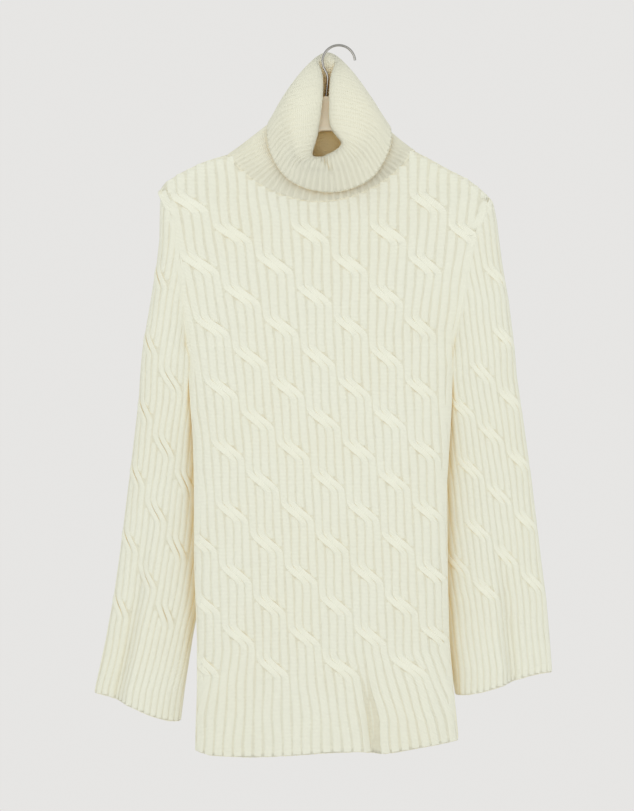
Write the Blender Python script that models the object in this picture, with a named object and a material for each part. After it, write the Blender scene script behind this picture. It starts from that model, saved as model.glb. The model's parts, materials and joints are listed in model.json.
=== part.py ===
"""Knit dress on a hanger: front, back, bell sleeves and roll collar, with the hanger and its hook."""

from collections import namedtuple
from math import cos, pi, radians, sin, sqrt

import bmesh
import bpy
import numpy as np

# Lengths are in millimetres until a mesh is made. X runs to the right as seen from the front, Y from
# the front to the back, and every height is a drop: the distance below the underside of the hook's crown.
MM = 0.001

WALL = 1.6  # cloth at the foot of a rib
RIB_RAISE = 1.8  # how far a rib stands above the cloth beside it
CABLE_RAISE = 1.1  # how much further crossing ribs stand
SKIN = WALL / 2 + RIB_RAISE  # middle of the wall to the outline
SEAM_GAP = 0.3
SETTLE_STEPS = 60
SETTLE_SHARE = 0.4

RIBS_IN_GROUP = 4
COLUMNS_IN_RIB = 2  # foot and crest
COLUMNS_IN_GROUP = RIBS_IN_GROUP * COLUMNS_IN_RIB
INNER_COLUMNS = 4  # the plain inside of a wall has a point for every so many columns of its outside
INNER_ROWS = 2
CABLE_HALF = 12.0  # half of the height in which two ribs cross the next two
SNAP = 4.0  # a row or column that comes nearer to an edge than this runs into it
MERGE_ANGLE = radians(5)  # neighbouring faces flatter than this become one

FRONT, BACK = -1, 1
LEFT, RIGHT = -1, 1
UNDERARM_DROP = 403.0
RIDGE_ROUND = 12.0  # how far below the shoulder line the cloth has turned down

LAST_CABLE = 835.0
CABLE_STEP = 41.5  # from one row of cables to the next, which is offset by a group
CABLE_ROWS = 16
EDGE_ROWS = (0.0, 4.5, 11.0)  # rows that follow the shoulder and the neck, this far below them
BODY_GROUPS = 9
TOP_ROWS = (154.0, 168.0, 184.0)
BODY_PLAIN_ROWS = (866.0, 890.0, 914.0, 936.0)

TIP_ROUND = 10.0  # how far below the shoulder's tip the sleeve has its full depth

NECK_LEFT, NECK_RIGHT = -147.0, 101.0
NECK_DEPTH = {FRONT: 66.0, BACK: 15.0}
NECK_CURVE = 0.8

SLEEVE_RIB = 8.6
SLEEVE_GROUPS = 10
SLEEVE_FIRST_RIB = 2.0  # from the outer edge to the first group
SLEEVE_PLAIN_ROWS = (786.0, 812.0, 834.0)

COLLAR_WALL = 2.4
COLLAR_GAP = 1.2
COLLAR_TURN = 1.6  # from here on the cloth's other side shows
COLLAR_RIBS = 42
COLLAR_RIB_RAISE = 1.2
COLLAR_STEP = 0.02

HANGER_HALF_THICK = 4.0
HANGER_BEVEL = 2.0
HANGER_PLACE_STEPS = 2  # between one place of its table and the next
HOOK_WIRE_RADIUS = 1.7
HOOK_BEND_RADIUS = 22.0

HEM_END = 960.0
KNIT_COLOUR = (0.80, 0.79, 0.66)
KNIT_ROUGHNESS = 0.9
HANGER_COLOUR = (0.80, 0.76, 0.66)
HANGER_ROUGHNESS = 0.45
HOOK_COLOUR = (0.72, 0.72, 0.72)
HOOK_ROUGHNESS = 0.15

# The outline of the body as seen from the front, and how far its middle stands out to either side.
BodyLevel = namedtuple("BodyLevel", "drop left right front back")
BODY_LEVELS = (
    BodyLevel(140, -246, 216, 10, 10),
    BodyLevel(199, -241, 211, 11, 10.5),
    BodyLevel(223, -229, 200, 13, 12),
    BodyLevel(242, -223, 190, 15, 13),
    BodyLevel(267, -218, 182, 17, 14.5),
    BodyLevel(295, -214, 176, 19, 16),
    BodyLevel(342, -212, 170, 22, 18),
    BodyLevel(403, -209, 160, 25, 19),
    BodyLevel(418, -204, 158, 25.5, 19.5),
    BodyLevel(444, -202, 155, 26, 20),
    BodyLevel(477, -200, 154, 26.5, 20),
    BodyLevel(531, -196, 151, 27, 20),
    BodyLevel(585, -194.5, 147.5, 27, 20),
    BodyLevel(693, -194.5, 148, 26, 20),
    BodyLevel(747, -192.5, 149, 26, 20),
    BodyLevel(801, -190.5, 150.5, 25, 20),
    BodyLevel(869, -190.5, 156.5, 25, 20),
    BodyLevel(924, -192.5, 162, 26, 21),
    BodyLevel(960, -193, 163.5, 26, 21),
)

# Where the fifth group of ribs runs, and how wide a group is.
RibLevel = namedtuple("RibLevel", "drop middle pitch")
RIB_LEVELS = (
    RibLevel(140, -43, 54.5),
    RibLevel(207, -40.5, 54),
    RibLevel(261, -36.5, 52),
    RibLevel(383, -29.5, 46.2),
    RibLevel(464, -23, 44.6),
    RibLevel(545, -16, 43.9),
    RibLevel(666, -8, 43.9),
    RibLevel(815, 0, 44.2),
    RibLevel(905, 15, 51.3),
    RibLevel(960, 19, 53.3),
)
MIDDLE_GROUP = 4.5

# The top of the shoulders from outside to inside, and on up the sides of the collar's stand.
RidgePoint = namedtuple("RidgePoint", "x drop")
RIDGE = (
    RidgePoint(-246, 206),
    RidgePoint(-241.5, 198),
    RidgePoint(-233.5, 184.5),
    RidgePoint(-213, 171),
    RidgePoint(-186, 157.5),
    RidgePoint(-172, 152.5),
    RidgePoint(-147, 145),
    RidgePoint(-107, 116),
    RidgePoint(-23, 50),
    RidgePoint(70, 116),
    RidgePoint(101, 140),
    RidgePoint(124, 152),
    RidgePoint(150, 166.5),
    RidgePoint(172.5, 177.5),
    RidgePoint(190.5, 191),
    RidgePoint(204, 204.5),
    RidgePoint(209, 214),
    RidgePoint(214, 224),
)

# Folds that run down to the hem: where, how wide and deep, and the height in which they fade in.
Fold = namedtuple("Fold", "top_x hem_x width depth top_drop full_drop")
FRONT_FOLDS = (
    Fold(31, 50, 9, 9, 800, 930),
    Fold(-110, -120, 26, 3, 560, 900),
    Fold(-30, -42, 30, -2.5, 500, 900),
    Fold(112, 126, 16, -3, 620, 930),
)
BACK_FOLDS = (
    Fold(-70, -88, 14, 6, 700, 930),
    Fold(60, 75, 20, 4, 560, 900),
    Fold(-8, -4, 30, -3, 520, 900),
)

# Hem of the front, which dips between its folds.
HemPoint = namedtuple("HemPoint", "x drop")
FRONT_HEM = (
    HemPoint(-193, 949),
    HemPoint(-170, 954.5),
    HemPoint(-115, 956),
    HemPoint(-50, 951.5),
    HemPoint(-20, 949),
    HemPoint(30, 947.5),
    HemPoint(56, 951),
    HemPoint(80, 948.5),
    HemPoint(120, 941.5),
    HemPoint(163, 935),
)
BACK_HEM = (
    HemPoint(-193, 949),
    HemPoint(-90, 951),
    HemPoint(0, 948),
    HemPoint(90, 943),
    HemPoint(163, 935),
)

# Each sleeve's outline from the front, with its middle's place and half its depth from front to back.
SleeveLevel = namedtuple("SleeveLevel", "drop outer inner middle half_depth")
LEFT_SLEEVE_LEVELS = (
    SleeveLevel(199, -242, -240, 0, 10),
    SleeveLevel(223, -240.5, -229, 0, 13),
    SleeveLevel(261, -241, -219, 0, 16),
    SleeveLevel(295, -245, -214, 0, 18),
    SleeveLevel(344, -253, -212, 0, 18),
    SleeveLevel(403, -263, -209.5, 0, 17),
    SleeveLevel(418, -265, -207, 2, 17),
    SleeveLevel(444, -267.5, -205, 7, 17),
    SleeveLevel(477, -270, -201, 14, 17),
    SleeveLevel(531, -277, -193, 22, 17.5),
    SleeveLevel(585, -284, -188, 28, 18),
    SleeveLevel(693, -298, -185, 32, 20),
    SleeveLevel(747, -306, -188, 31, 22),
    SleeveLevel(803, -316, -198, 27, 24),
    SleeveLevel(869, -330, -208, 21, 26),
    SleeveLevel(912, -336, -213, 17, 27),
)
RIGHT_SLEEVE_LEVELS = (
    SleeveLevel(199, 213, 211, 0, 10),
    SleeveLevel(223, 213, 200, 0, 13),
    SleeveLevel(261, 217.5, 183.5, 0, 16),
    SleeveLevel(295, 222, 176, 0, 18),
    SleeveLevel(344, 230.5, 170, 0, 18),
    SleeveLevel(403, 238, 160.5, 0, 17),
    SleeveLevel(418, 239.5, 161, 2, 17),
    SleeveLevel(444, 242, 159.5, 7, 17),
    SleeveLevel(477, 247.5, 157, 14, 17),
    SleeveLevel(531, 256, 148, 22, 17.5),
    SleeveLevel(585, 264, 142, 28, 18),
    SleeveLevel(693, 277.5, 140, 32, 20),
    SleeveLevel(747, 284.5, 141, 31, 22),
    SleeveLevel(803, 289, 147, 27, 24),
    SleeveLevel(842, 291.5, 154, 22, 25),
    SleeveLevel(880, 292, 160, 19, 26),
)

# A sleeve's cuff falls from its outer to its inner edge. Its fold is a step down the front, outside
# of which the cloth lies further back.
SleevePlan = namedtuple("SleevePlan", "sign cuff_outer cuff_inner fold_in")
LEFT_SLEEVE = SleevePlan(-1, 874, 911, 40)
RIGHT_SLEEVE = SleevePlan(1, 846, 876, 62)
FOLD_TOP_DROP, FOLD_FULL_DROP = 560.0, 860.0
FOLD_SHARE = 0.5  # of the depth outside the fold that the step takes away
FOLD_VALLEY = 4.0
FOLD_WIDTH = 9.0
SECTION_STEPS = 48

# The collar's five knitted lines, from the neck seam up the stand, over the fold and down to the free
# edge. Each row is a place round the neck, from the front middle to the back middle, with how far it
# lies to the left and to the right of the line's axis.
NeckPlace = namedtuple("NeckPlace", "left right left_drop right_drop depth")
CollarLine = namedtuple("CollarLine", "axis places")
COLLAR_LINES = {
    "stand": CollarLine(-18, (
        NeckPlace(0, 0, 180, 180, -12), NeckPlace(48, 48, 170, 170, -13), NeckPlace(76, 76, 149, 149, -11),
        NeckPlace(84, 84, 118, 118, -3), NeckPlace(72, 72, 106, 106, 9), NeckPlace(42, 42, 104, 104, 12),
        NeckPlace(0, 0, 106, 106, 13))),
    "fold": CollarLine(-15, (
        NeckPlace(0, 0, 150, 150, -18), NeckPlace(21, 21, 150, 134, -19), NeckPlace(14, 6, 118, 108, -16),
        NeckPlace(8, 5, 74, 72, -12), NeckPlace(8, 7, 44, 44, -3), NeckPlace(12, 12, 23, 23, 7),
        NeckPlace(0, 0, 14, 14, 11))),
    "lobe": CollarLine(-13, (
        NeckPlace(0, 0, 171, 171, -28), NeckPlace(38, 36, 160, 154, -31), NeckPlace(53, 52, 126, 120, -29),
        NeckPlace(57, 53, 84, 84, -23), NeckPlace(46, 43, 51, 53, -2), NeckPlace(28, 26, 28, 29, 16),
        NeckPlace(0, 0, 24, 24, 21))),
    "edge": CollarLine(-12, (
        NeckPlace(0, 0, 198, 198, -21), NeckPlace(50, 50, 184, 184, -24), NeckPlace(76, 76, 150, 150, -22),
        NeckPlace(82, 82, 112, 116, -12), NeckPlace(71, 69, 91, 95, 15), NeckPlace(41, 40, 80, 81, 24),
        NeckPlace(0, 0, 79, 79, 26))),
}
COLLAR_RINGS = (0.0, 0.45, 0.9, 1.35, 1.7, 1.9, 2.05, 2.25, 2.6, 3.0, 3.35, 3.7, 4.0)


# The hanger's outline.
HangerPlace = namedtuple("HangerPlace", "x top bottom")
HANGER = (
    HangerPlace(-212, 185, 193),
    HangerPlace(-204, 175, 190),
    HangerPlace(-184, 169, 187),
    HangerPlace(-147, 163, 178),
    HangerPlace(-132, 157, 172),
    HangerPlace(-102, 136, 155),
    HangerPlace(-60, 104, 133),
    HangerPlace(-30, 76, 117),
    HangerPlace(-16, 67, 114),
    HangerPlace(-2, 76, 117),
    HangerPlace(30, 106, 136),
    HangerPlace(62, 130, 153),
    HangerPlace(101, 150, 171),
    HangerPlace(150, 174.5, 193),
    HangerPlace(172, 189, 203),
    HangerPlace(181, 199, 206),
)

HOOK_CENTRE = (1.0, 20.3)
HOOK_TIP_ANGLE = 4
HOOK_STEP_ANGLE = 16
HOOK_PLACE_STEPS = 3
HookPlace = namedtuple("HookPlace", "x drop")
HOOK_NECK = (
    HookPlace(-19.5, 28),
    HookPlace(-14.5, 39),
    HookPlace(-14.2, 50),
    HookPlace(-16, 66.6),
)


def table(rows, key, *names):
    """The named columns of a table's rows, as one function of the key column."""
    keys = [getattr(row, key) for row in rows]
    columns = [[getattr(row, name) for row in rows] for name in names]
    return lambda at: [float(np.interp(at, keys, column)) for column in columns]


body_level = table(BODY_LEVELS, "drop", "left", "right", "front", "back")
rib_level = table(RIB_LEVELS, "drop", "middle", "pitch")
ridge_level = table(RIDGE, "x", "drop")
sleeve_levels = {sign: table(levels, "drop", "outer", "inner", "middle", "half_depth")
                 for sign, levels in ((-1, LEFT_SLEEVE_LEVELS), (1, RIGHT_SLEEVE_LEVELS))}
hem_levels = {FRONT: table(FRONT_HEM, "x", "drop"), BACK: table(BACK_HEM, "x", "drop")}


def quarter_round(share):
    """From 0 at the edge of a rolled form to 1 where it has turned away from it."""
    return sqrt(max(0.0, 1 - (1 - min(max(share, 0.0), 1.0)) ** 2))


def ease(low, high, at):
    share = min(max((at - low) / (high - low), 0.0), 1.0)
    return share * share * (3 - 2 * share)


def unit(vector):
    return vector / max(np.linalg.norm(vector), 1e-9)


def world(x, depth, drop):
    return np.array((x, depth, -drop), float)


# --- the armhole, which the body and the sleeves share -------------------------------------------

def ridge_middle(x):
    """The middle of the wall along the top of the shoulders."""
    return ridge_level(x)[0] + SKIN


def edge_x(sign, drop):
    """The middle of the wall down the left (-1) or right (1) side of the body."""
    left, right, _, _ = body_level(drop)
    return left + SKIN if sign < 0 else right - SKIN


def settle(aim):
    """The drop at which the aim for it is that same drop, found from below."""
    drop = UNDERARM_DROP
    for _ in range(SETTLE_STEPS):
        drop += SETTLE_SHARE * (aim(drop) - drop)
    return drop


def shoulder_tip(sign):
    return settle(lambda drop: ridge_middle(edge_x(sign, drop)))


def armhole_share(sign, drop):
    tip = TIP_DROP[sign]
    return min(max((drop - tip) / (UNDERARM_DROP - tip), 0.0), 1.0)


def armhole_turn(sign, drop):
    """How far round its own section a sleeve has gone where it meets the body."""
    return pi / 2 * (1 + armhole_share(sign, drop) ** 2)


def sleeve_bulge(sign, drop):
    half_depth = sleeve_levels[sign](drop)[3]
    return half_depth * quarter_round((drop - TIP_DROP[sign]) / TIP_ROUND)


def armhole_depth(sign, drop):
    """Half of the armhole's opening from front to back."""
    if drop >= UNDERARM_DROP:
        return 0.0
    return sleeve_bulge(sign, drop) * sin(armhole_turn(sign, drop))


def armhole_outward(sign, side, drop):
    """Square to the armhole's edge, in its own plane."""
    if drop <= TIP_DROP[sign] + 0.01:
        return np.array((0.0, 0.0, 1.0))
    if drop >= UNDERARM_DROP - 0.01:
        return np.array((0.0, 0.0, -1.0))
    step = 0.5
    slope = (armhole_depth(sign, drop + step) - armhole_depth(sign, drop - step)) / (2 * step)
    return unit(np.array((0.0, side, slope)))


def rows_below(top, levels):
    """Rows that first follow an edge and then lie level."""
    near = top + EDGE_ROWS[-1]
    return [top + row for row in EDGE_ROWS] + [max(level, near) if level < near + SNAP else level
                                               for level in levels]


# --- walls -------------------------------------------------------------------------------------

class Skin:
    """Collects a mesh's faces, and makes points that fall together one."""

    def __init__(self):
        self.points = []
        self.index = {}
        self.faces = []

    def point(self, place):
        key = tuple(round(float(value), 3) for value in place)
        if key not in self.index:
            self.index[key] = len(self.points)
            self.points.append(place)
        return self.index[key]

    def face(self, *places):
        found = [self.point(place) for place in places]
        kept = [corner for i, corner in enumerate(found) if corner != found[i - 1]]
        if len(set(kept)) >= 3:
            self.faces.append(kept)

    def mesh(self, name):
        mesh = bpy.data.meshes.new(name)
        points = [tuple(float(value) * MM for value in place) for place in self.points]
        mesh.from_pydata(points, [], self.faces)
        return mesh


def link(obj, colour, roughness, metallic=0.0):
    material = bpy.data.materials.new(obj.name)
    material.use_nodes = True
    shader = material.node_tree.nodes["Principled BSDF"]
    shader.inputs["Base Color"].default_value = (*colour, 1)
    shader.inputs["Roughness"].default_value = roughness
    shader.inputs["Metallic"].default_value = metallic
    obj.data.materials.append(material)
    dress.objects.link(obj)
    return obj


def make(name, skin, kept):
    """The object of a skin, with faces that lie flat merged, apart from those round the kept points."""
    mesh = skin.mesh(name)
    shape = bmesh.new()
    shape.from_mesh(mesh)
    shape.verts.ensure_lookup_table()
    fixed = {skin.point(place) for place in kept}
    free = [vert for vert in shape.verts if vert.index not in fixed]
    inside = set(free)
    edges = [edge for edge in shape.edges if edge.verts[0] in inside or edge.verts[1] in inside]
    bmesh.ops.dissolve_limit(shape, angle_limit=MERGE_ANGLE, verts=free, edges=edges)
    bmesh.ops.triangulate(shape, faces=shape.faces[:], quad_method="BEAUTY", ngon_method="BEAUTY")
    shape.to_mesh(mesh)
    shape.free()
    return link(bpy.data.objects.new(name, mesh), KNIT_COLOUR, KNIT_ROUGHNESS)


def add_rim(skin, fine, coarse):
    """Joins a run of points on one face of a wall to the two points on its other face."""
    middle = len(fine) // 2
    for i in range(len(fine) - 1):
        skin.face(coarse[0 if i < middle else 1], fine[i], fine[i + 1])
        if i + 1 == middle:
            skin.face(coarse[0], fine[middle], coarse[1])
    if middle == 0:
        skin.face(coarse[0], fine[0], coarse[1])


def add_crossing(skin, above, below, first):
    """A group's left ribs pass whole over its right ones, which show beside them as they go under."""
    half = COLUMNS_IN_GROUP // 2
    last = first + COLUMNS_IN_GROUP
    for k in range(first, first + half):
        skin.face(above[k], below[k + half], below[k + half + 1], above[k + 1])
        skin.face(above[first], below[k], below[k + 1])
        skin.face(above[k + half], below[last], above[k + half + 1])


def wall(name, places, outwards, raises, crossings, open_rows, inner_rows, inner_columns):
    """A wall on a grid of rows and columns: ribs outside, plain inside, and a rim round its edge.

    open_rows is the number of rows, from the first, whose two side edges are free. Below them the
    sides meet. crossings holds (row, column) where a group's left ribs pass over its right ones on
    the way to the next row. The inside takes only the rows and columns given for it.
    """
    skin = Skin()
    rows, columns = len(places), len(places[0])
    outer = [[places[i][j] + outwards[i][j] * (WALL / 2 + raises[i][j]) for j in range(columns)]
             for i in range(rows)]
    inner = [[places[i][j] - outwards[i][j] * WALL / 2 for j in range(columns)] for i in range(rows)]

    for i in range(rows - 1):
        j = 0
        while j < columns - 1:
            if (i, j) in crossings:
                add_crossing(skin, outer[i], outer[i + 1], j)
                j += COLUMNS_IN_GROUP
            else:
                skin.face(outer[i][j], outer[i + 1][j], outer[i + 1][j + 1], outer[i][j + 1])
                j += 1
    for i, n in zip(inner_rows, inner_rows[1:]):
        for j, k in zip(inner_columns, inner_columns[1:]):
            skin.face(inner[i][j], inner[i][k], inner[n][k], inner[n][j])
        if i < open_rows:
            left = [outer[row][0] for row in range(i, n + 1)]
            right = [outer[row][-1] for row in range(i, n + 1)]
            add_rim(skin, left[::-1], (inner[n][0], inner[i][0]))
            add_rim(skin, right, (inner[i][-1], inner[n][-1]))
    for j, k in zip(inner_columns, inner_columns[1:]):
        add_rim(skin, outer[0][j:k + 1], (inner[0][j], inner[0][k]))
        add_rim(skin, outer[-1][j:k + 1][::-1], (inner[-1][k], inner[-1][j]))
    kept = outer[0] + outer[-1] + [row[0] for row in outer] + [row[-1] for row in outer]
    for i in inner_rows:
        kept += [inner[i][j] for j in inner_columns]
    return make(name, skin, kept)


def cable_levels(count):
    """The top and bottom of each row of cables, and which groups cross in it, from the top down."""
    found = []
    for k in range(count):
        middle = LAST_CABLE - CABLE_STEP * k
        found.append((middle - CABLE_HALF, middle + CABLE_HALF, k % 2))
    return found[::-1]


def row_levels(cable_rows, plain_rows):
    """The drops of a wall's level rows: above the cables, at their tops and bottoms, and below them."""
    ends = [level for top, bottom, _ in cable_rows for level in (top, bottom)]
    return sorted([*TOP_ROWS, *ends, UNDERARM_DROP, *plain_rows])


def knit(name, place, outward, columns, levels, cables, open_rows, rib_width, inner_columns):
    """A ribbed and cabled wall. place(i, j) gives a point and whether it is clear of the edges."""
    rows = len(levels)
    found = [[place(i, j) for j in range(columns)] for i in range(rows)]
    places = [[point for point, _ in row] for row in found]
    free = [[clear for _, clear in row] for row in found]
    outwards = [[outward(i, j) for j in range(columns)] for i in range(rows)]
    raises = np.zeros((rows, columns))
    for i in range(rows):
        for j in range(1, columns - 1, COLUMNS_IN_RIB):
            if free[i][j]:
                width = np.linalg.norm(places[i][j + 1] - places[i][j - 1])
                raises[i][j] = RIB_RAISE * min(1.0, width / (0.7 * rib_width))
    crossings = set()
    for i in range(rows - 1):
        parity = cables.get((levels[i], levels[i + 1]))
        if parity is None:
            continue
        for group in range(parity, (columns - 1) // COLUMNS_IN_GROUP, 2):
            first = group * COLUMNS_IN_GROUP
            span = range(first, first + COLUMNS_IN_GROUP + 1)
            if all(free[i][j] and free[i + 1][j] for j in span):
                crossings.add((i, first))
                for k in (1, 2, 3):
                    raises[i][first + k] += CABLE_RAISE
                    raises[i + 1][first + k + COLUMNS_IN_GROUP // 2] += CABLE_RAISE
    near_top = range(len(EDGE_ROWS))
    below = range(len(EDGE_ROWS), rows, INNER_ROWS)
    inner_rows = sorted({*near_top, *below, min(open_rows, rows - 1), rows - 1})
    return wall(name, places, outwards, raises, crossings, open_rows, inner_rows, inner_columns)


# --- front and back ------------------------------------------------------------------------------

def fold_depth(side, x, drop):
    """How far the folds take the cloth in."""
    total = 0.0
    for fold in FRONT_FOLDS if side == FRONT else BACK_FOLDS:
        share = (drop - fold.top_drop) / (HEM_END - fold.top_drop)
        if share <= 0:
            continue
        middle = fold.top_x + (fold.hem_x - fold.top_x) * share
        across = np.exp(-((x - middle) / fold.width) ** 2)
        total += fold.depth * ease(fold.top_drop, fold.full_drop, drop) * across
    return total


def body_depth(side, x, drop):
    """How far the middle of the wall stands out from the side seams' plane."""
    left, right = edge_x(LEFT, drop), edge_x(RIGHT, drop)
    across = min(abs(2 * (x - left) / (right - left) - 1), 1.0)
    edge = armhole_depth(LEFT if x < (left + right) / 2 else RIGHT, drop)
    full = body_level(drop)[2 if side == FRONT else 3]
    roundness = 0.5 + 0.5 * min(edge / 6, 1.0)
    crown = (1 - across ** 2) ** roundness
    depth = edge + (full - edge) * crown - fold_depth(side, x, drop) * min(1.0, 2 * crown)
    return depth * quarter_round((drop - ridge_middle(x)) / RIDGE_ROUND)


def body_place(side, x, drop):
    return world(x, side * (body_depth(side, x, drop) + SEAM_GAP / 2), drop)


def body_outward(side, x, drop):
    step = 0.5
    across = (body_depth(side, x + step, drop) - body_depth(side, x - step, drop)) / (2 * step)
    down = (body_depth(side, x, drop + step) - body_depth(side, x, drop - step)) / (2 * step)
    return unit(np.array((-across, side, down)))


def neck_share(x):
    """-1 and 1 where the neck meets the shoulders."""
    return 2 * (x - NECK_LEFT) / (NECK_RIGHT - NECK_LEFT) - 1


def top_drop(side, x):
    """The top of the front or the back: the shoulders, and the neck between them."""
    across = neck_share(x)
    if abs(across) >= 1:
        return ridge_middle(x)
    line = np.interp(across, (-1, 1), (ridge_middle(NECK_LEFT), ridge_middle(NECK_RIGHT)))
    return line + NECK_DEPTH[side] * (1 - across ** 2) ** NECK_CURVE


def body_x(side, column, drop):
    """Where a rib's foot or crest lies, and whether it is clear of the body's sides."""
    left, right = edge_x(LEFT, drop), edge_x(RIGHT, drop)
    middle, pitch = rib_level(drop)
    x = middle + pitch * (column / COLUMNS_IN_GROUP - MIDDLE_GROUP)
    clear = 0 < column < BODY_GROUPS * COLUMNS_IN_GROUP and left + SNAP < x < right - SNAP
    if not clear:
        x = left if x < (left + right) / 2 else right
    return (x if side == FRONT else left + right - x), clear


def make_body(name, side):
    columns = BODY_GROUPS * COLUMNS_IN_GROUP + 1
    cable_rows = cable_levels(CABLE_ROWS)
    level_rows = row_levels(cable_rows, BODY_PLAIN_ROWS)
    drops = []
    for column in range(columns):
        top = settle(lambda drop, column=column: top_drop(side, body_x(side, column, drop)[0]))
        hem = hem_levels[side](body_x(side, column, HEM_END)[0])[0]
        drops.append(rows_below(top, level_rows) + [hem])

    def at(i, j):
        drop = drops[j][i]
        x, clear = body_x(side, j, drop)
        return x, drop, clear and i > len(EDGE_ROWS) - 1 and drop > drops[j][len(EDGE_ROWS) - 1]

    def place(i, j):
        x, drop, clear = at(i, j)
        return body_place(side, x, drop), clear

    def outward(i, j):
        x, drop, _ = at(i, j)
        for sign in (LEFT, RIGHT):
            if abs(x - edge_x(sign, drop)) < 0.01:
                if drop > UNDERARM_DROP + 0.01:
                    return np.array((sign, 0.0, 0.0))
                return armhole_outward(sign, side, drop)
        if i == 0 and abs(neck_share(x)) >= 1:
            slope = ridge_middle(x + 1) - ridge_middle(x)
            return unit(np.array((slope, 0.0, 1.0)))
        return body_outward(side, x, drop)

    levels = [None] * len(EDGE_ROWS) + level_rows + [None]
    cables = {(top, bottom): parity for top, bottom, parity in cable_rows}
    inner_columns = range(0, columns, INNER_COLUMNS)
    return knit(name, place, outward, columns, levels, cables, len(levels),
                RIB_LEVELS[0].pitch / RIBS_IN_GROUP, inner_columns)


# --- sleeves ---------------------------------------------------------------------------------------

def sleeve_half(plan, side, drop):
    """Half of a sleeve's section, from its outer edge inward: distance along it, X and depth."""
    outer, inner, middle, half_depth = sleeve_levels[plan.sign](drop)
    start = outer - plan.sign * SKIN
    if drop < UNDERARM_DROP:
        turn = armhole_turn(plan.sign, drop)
        end = edge_x(plan.sign, drop) + plan.sign * SEAM_GAP
        half_depth = sleeve_bulge(plan.sign, drop)
        middle = 0.0
    else:
        turn = pi
        end = inner + plan.sign * SKIN
    angles = np.linspace(0, turn, SECTION_STEPS)
    x = start + (end - start) * (1 - np.cos(angles)) / (1 - cos(turn))
    depth = half_depth * np.sin(angles)
    if side == FRONT:
        inward = np.abs(x - start)
        share = ease(FOLD_TOP_DROP, FOLD_FULL_DROP, drop)
        low, high = plan.fold_in - FOLD_WIDTH, plan.fold_in + FOLD_WIDTH
        step = np.array([1 - ease(low, high, at) for at in inward])
        valley = np.exp(-((inward - plan.fold_in + FOLD_WIDTH) / FOLD_WIDTH) ** 2)
        depth = depth * (1 - share * FOLD_SHARE * step) - share * FOLD_VALLEY * valley
        depth[0] = 0.0
        if turn == pi:
            depth[-1] = 0.0
    y = middle + side * depth
    if drop < UNDERARM_DROP:
        y[-1] = side * (armhole_depth(plan.sign, drop) + SEAM_GAP / 2)
    run = np.concatenate(([0.0], np.cumsum(np.hypot(np.diff(x), np.diff(y)))))
    return run, x, y


def cuff_drop(plan, x):
    outer, inner, _, _ = sleeve_levels[plan.sign](plan.cuff_inner)
    share = ease(0.0, abs(inner - outer), abs(x - outer))
    return plan.cuff_outer + (plan.cuff_inner - plan.cuff_outer) * share


def sleeve_place(plan, around, drop):
    """A point at a distance round the sleeve, to the right as seen from outside, and if it is clear."""
    side = FRONT if around * plan.sign < 0 else BACK
    run, x, y = sleeve_half(plan, side, drop)
    distance = abs(around)
    clear = distance < run[-1] - SNAP
    if not clear:
        distance = run[-1]
    return world(np.interp(distance, run, x), np.interp(distance, run, y), drop), clear


def make_sleeve(name, plan):
    columns = SLEEVE_GROUPS * COLUMNS_IN_GROUP + 1
    tip = TIP_DROP[plan.sign]
    cable_rows = [row for row in cable_levels(CABLE_ROWS) if row[1] < SLEEVE_PLAIN_ROWS[0]]
    rows = rows_below(tip, row_levels(cable_rows, SLEEVE_PLAIN_ROWS))
    last = len(rows)

    def around(j):
        """To the right as seen from outside, from the outer edge."""
        across = (j - (columns - 1) / 2) * SLEEVE_RIB / COLUMNS_IN_RIB
        return across - plan.sign * SLEEVE_FIRST_RIB

    def drop_at(i, j):
        if i < last:
            return rows[i]
        return cuff_drop(plan, sleeve_place(plan, around(j), plan.cuff_inner)[0][0])

    def place(i, j):
        if i == 0:
            x = edge_x(plan.sign, tip) + plan.sign * SEAM_GAP
            return world(x, 0.0, tip), False
        return sleeve_place(plan, around(j), drop_at(i, j))

    def outward(i, j):
        drop = drop_at(i, j)
        point, clear = place(i, j)
        side = FRONT if around(j) * plan.sign < 0 else BACK
        if not clear and drop > UNDERARM_DROP + 0.01:
            return np.array((-plan.sign, 0.0, 0.0))
        if not clear:
            return armhole_outward(plan.sign, side, drop)
        step = 0.5
        here = around(j)
        right = sleeve_place(plan, here + step, drop)[0] - sleeve_place(plan, here - step, drop)[0]
        down = sleeve_place(plan, here, drop + step)[0] - sleeve_place(plan, here, drop - step)[0]
        return unit(np.cross(down, right))

    levels = rows + [None]
    cables = {(top, bottom): parity for top, bottom, parity in cable_rows}
    middle = (columns - 1) // 2
    near = range(middle - INNER_COLUMNS * 2, middle + INNER_COLUMNS * 2, COLUMNS_IN_RIB)
    inner_columns = sorted({*range(0, columns, INNER_COLUMNS), *near})
    return knit(name, place, outward, columns, levels, cables, rows.index(UNDERARM_DROP),
                SLEEVE_RIB, inner_columns)


# --- collar ----------------------------------------------------------------------------------------

def spline(points, at):
    """A smooth curve through evenly spaced points, at 0 for the first and 1 for the second."""
    last = len(points) - 1
    i = min(int(at), last - 1)
    share = at - i
    before = points[i - 1] if i > 0 else 2 * points[0] - points[1]
    after = points[i + 2] if i + 2 <= last else 2 * points[last] - points[last - 1]
    a, b = points[i], points[i + 1]
    return 0.5 * (2 * a + (b - before) * share + (2 * before - 5 * a + 4 * b - after) * share ** 2
                  + (3 * a - before - 3 * b + after) * share ** 3)


def neck_seam(angle):
    """The collar's lowest line, just off the body's neck edge."""
    side = FRONT if cos(angle) > 0 else BACK
    x = (NECK_LEFT + NECK_RIGHT) / 2 + (NECK_RIGHT - NECK_LEFT) / 2 * sin(angle)
    drop = top_drop(side, x)
    step = 1.0
    slope = top_drop(side, x + step) - top_drop(side, x)
    inward = unit(np.array((slope, 0.0, 1.0)))
    return world(x, side * body_depth(side, x, drop), drop) + inward * COLLAR_GAP


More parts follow.
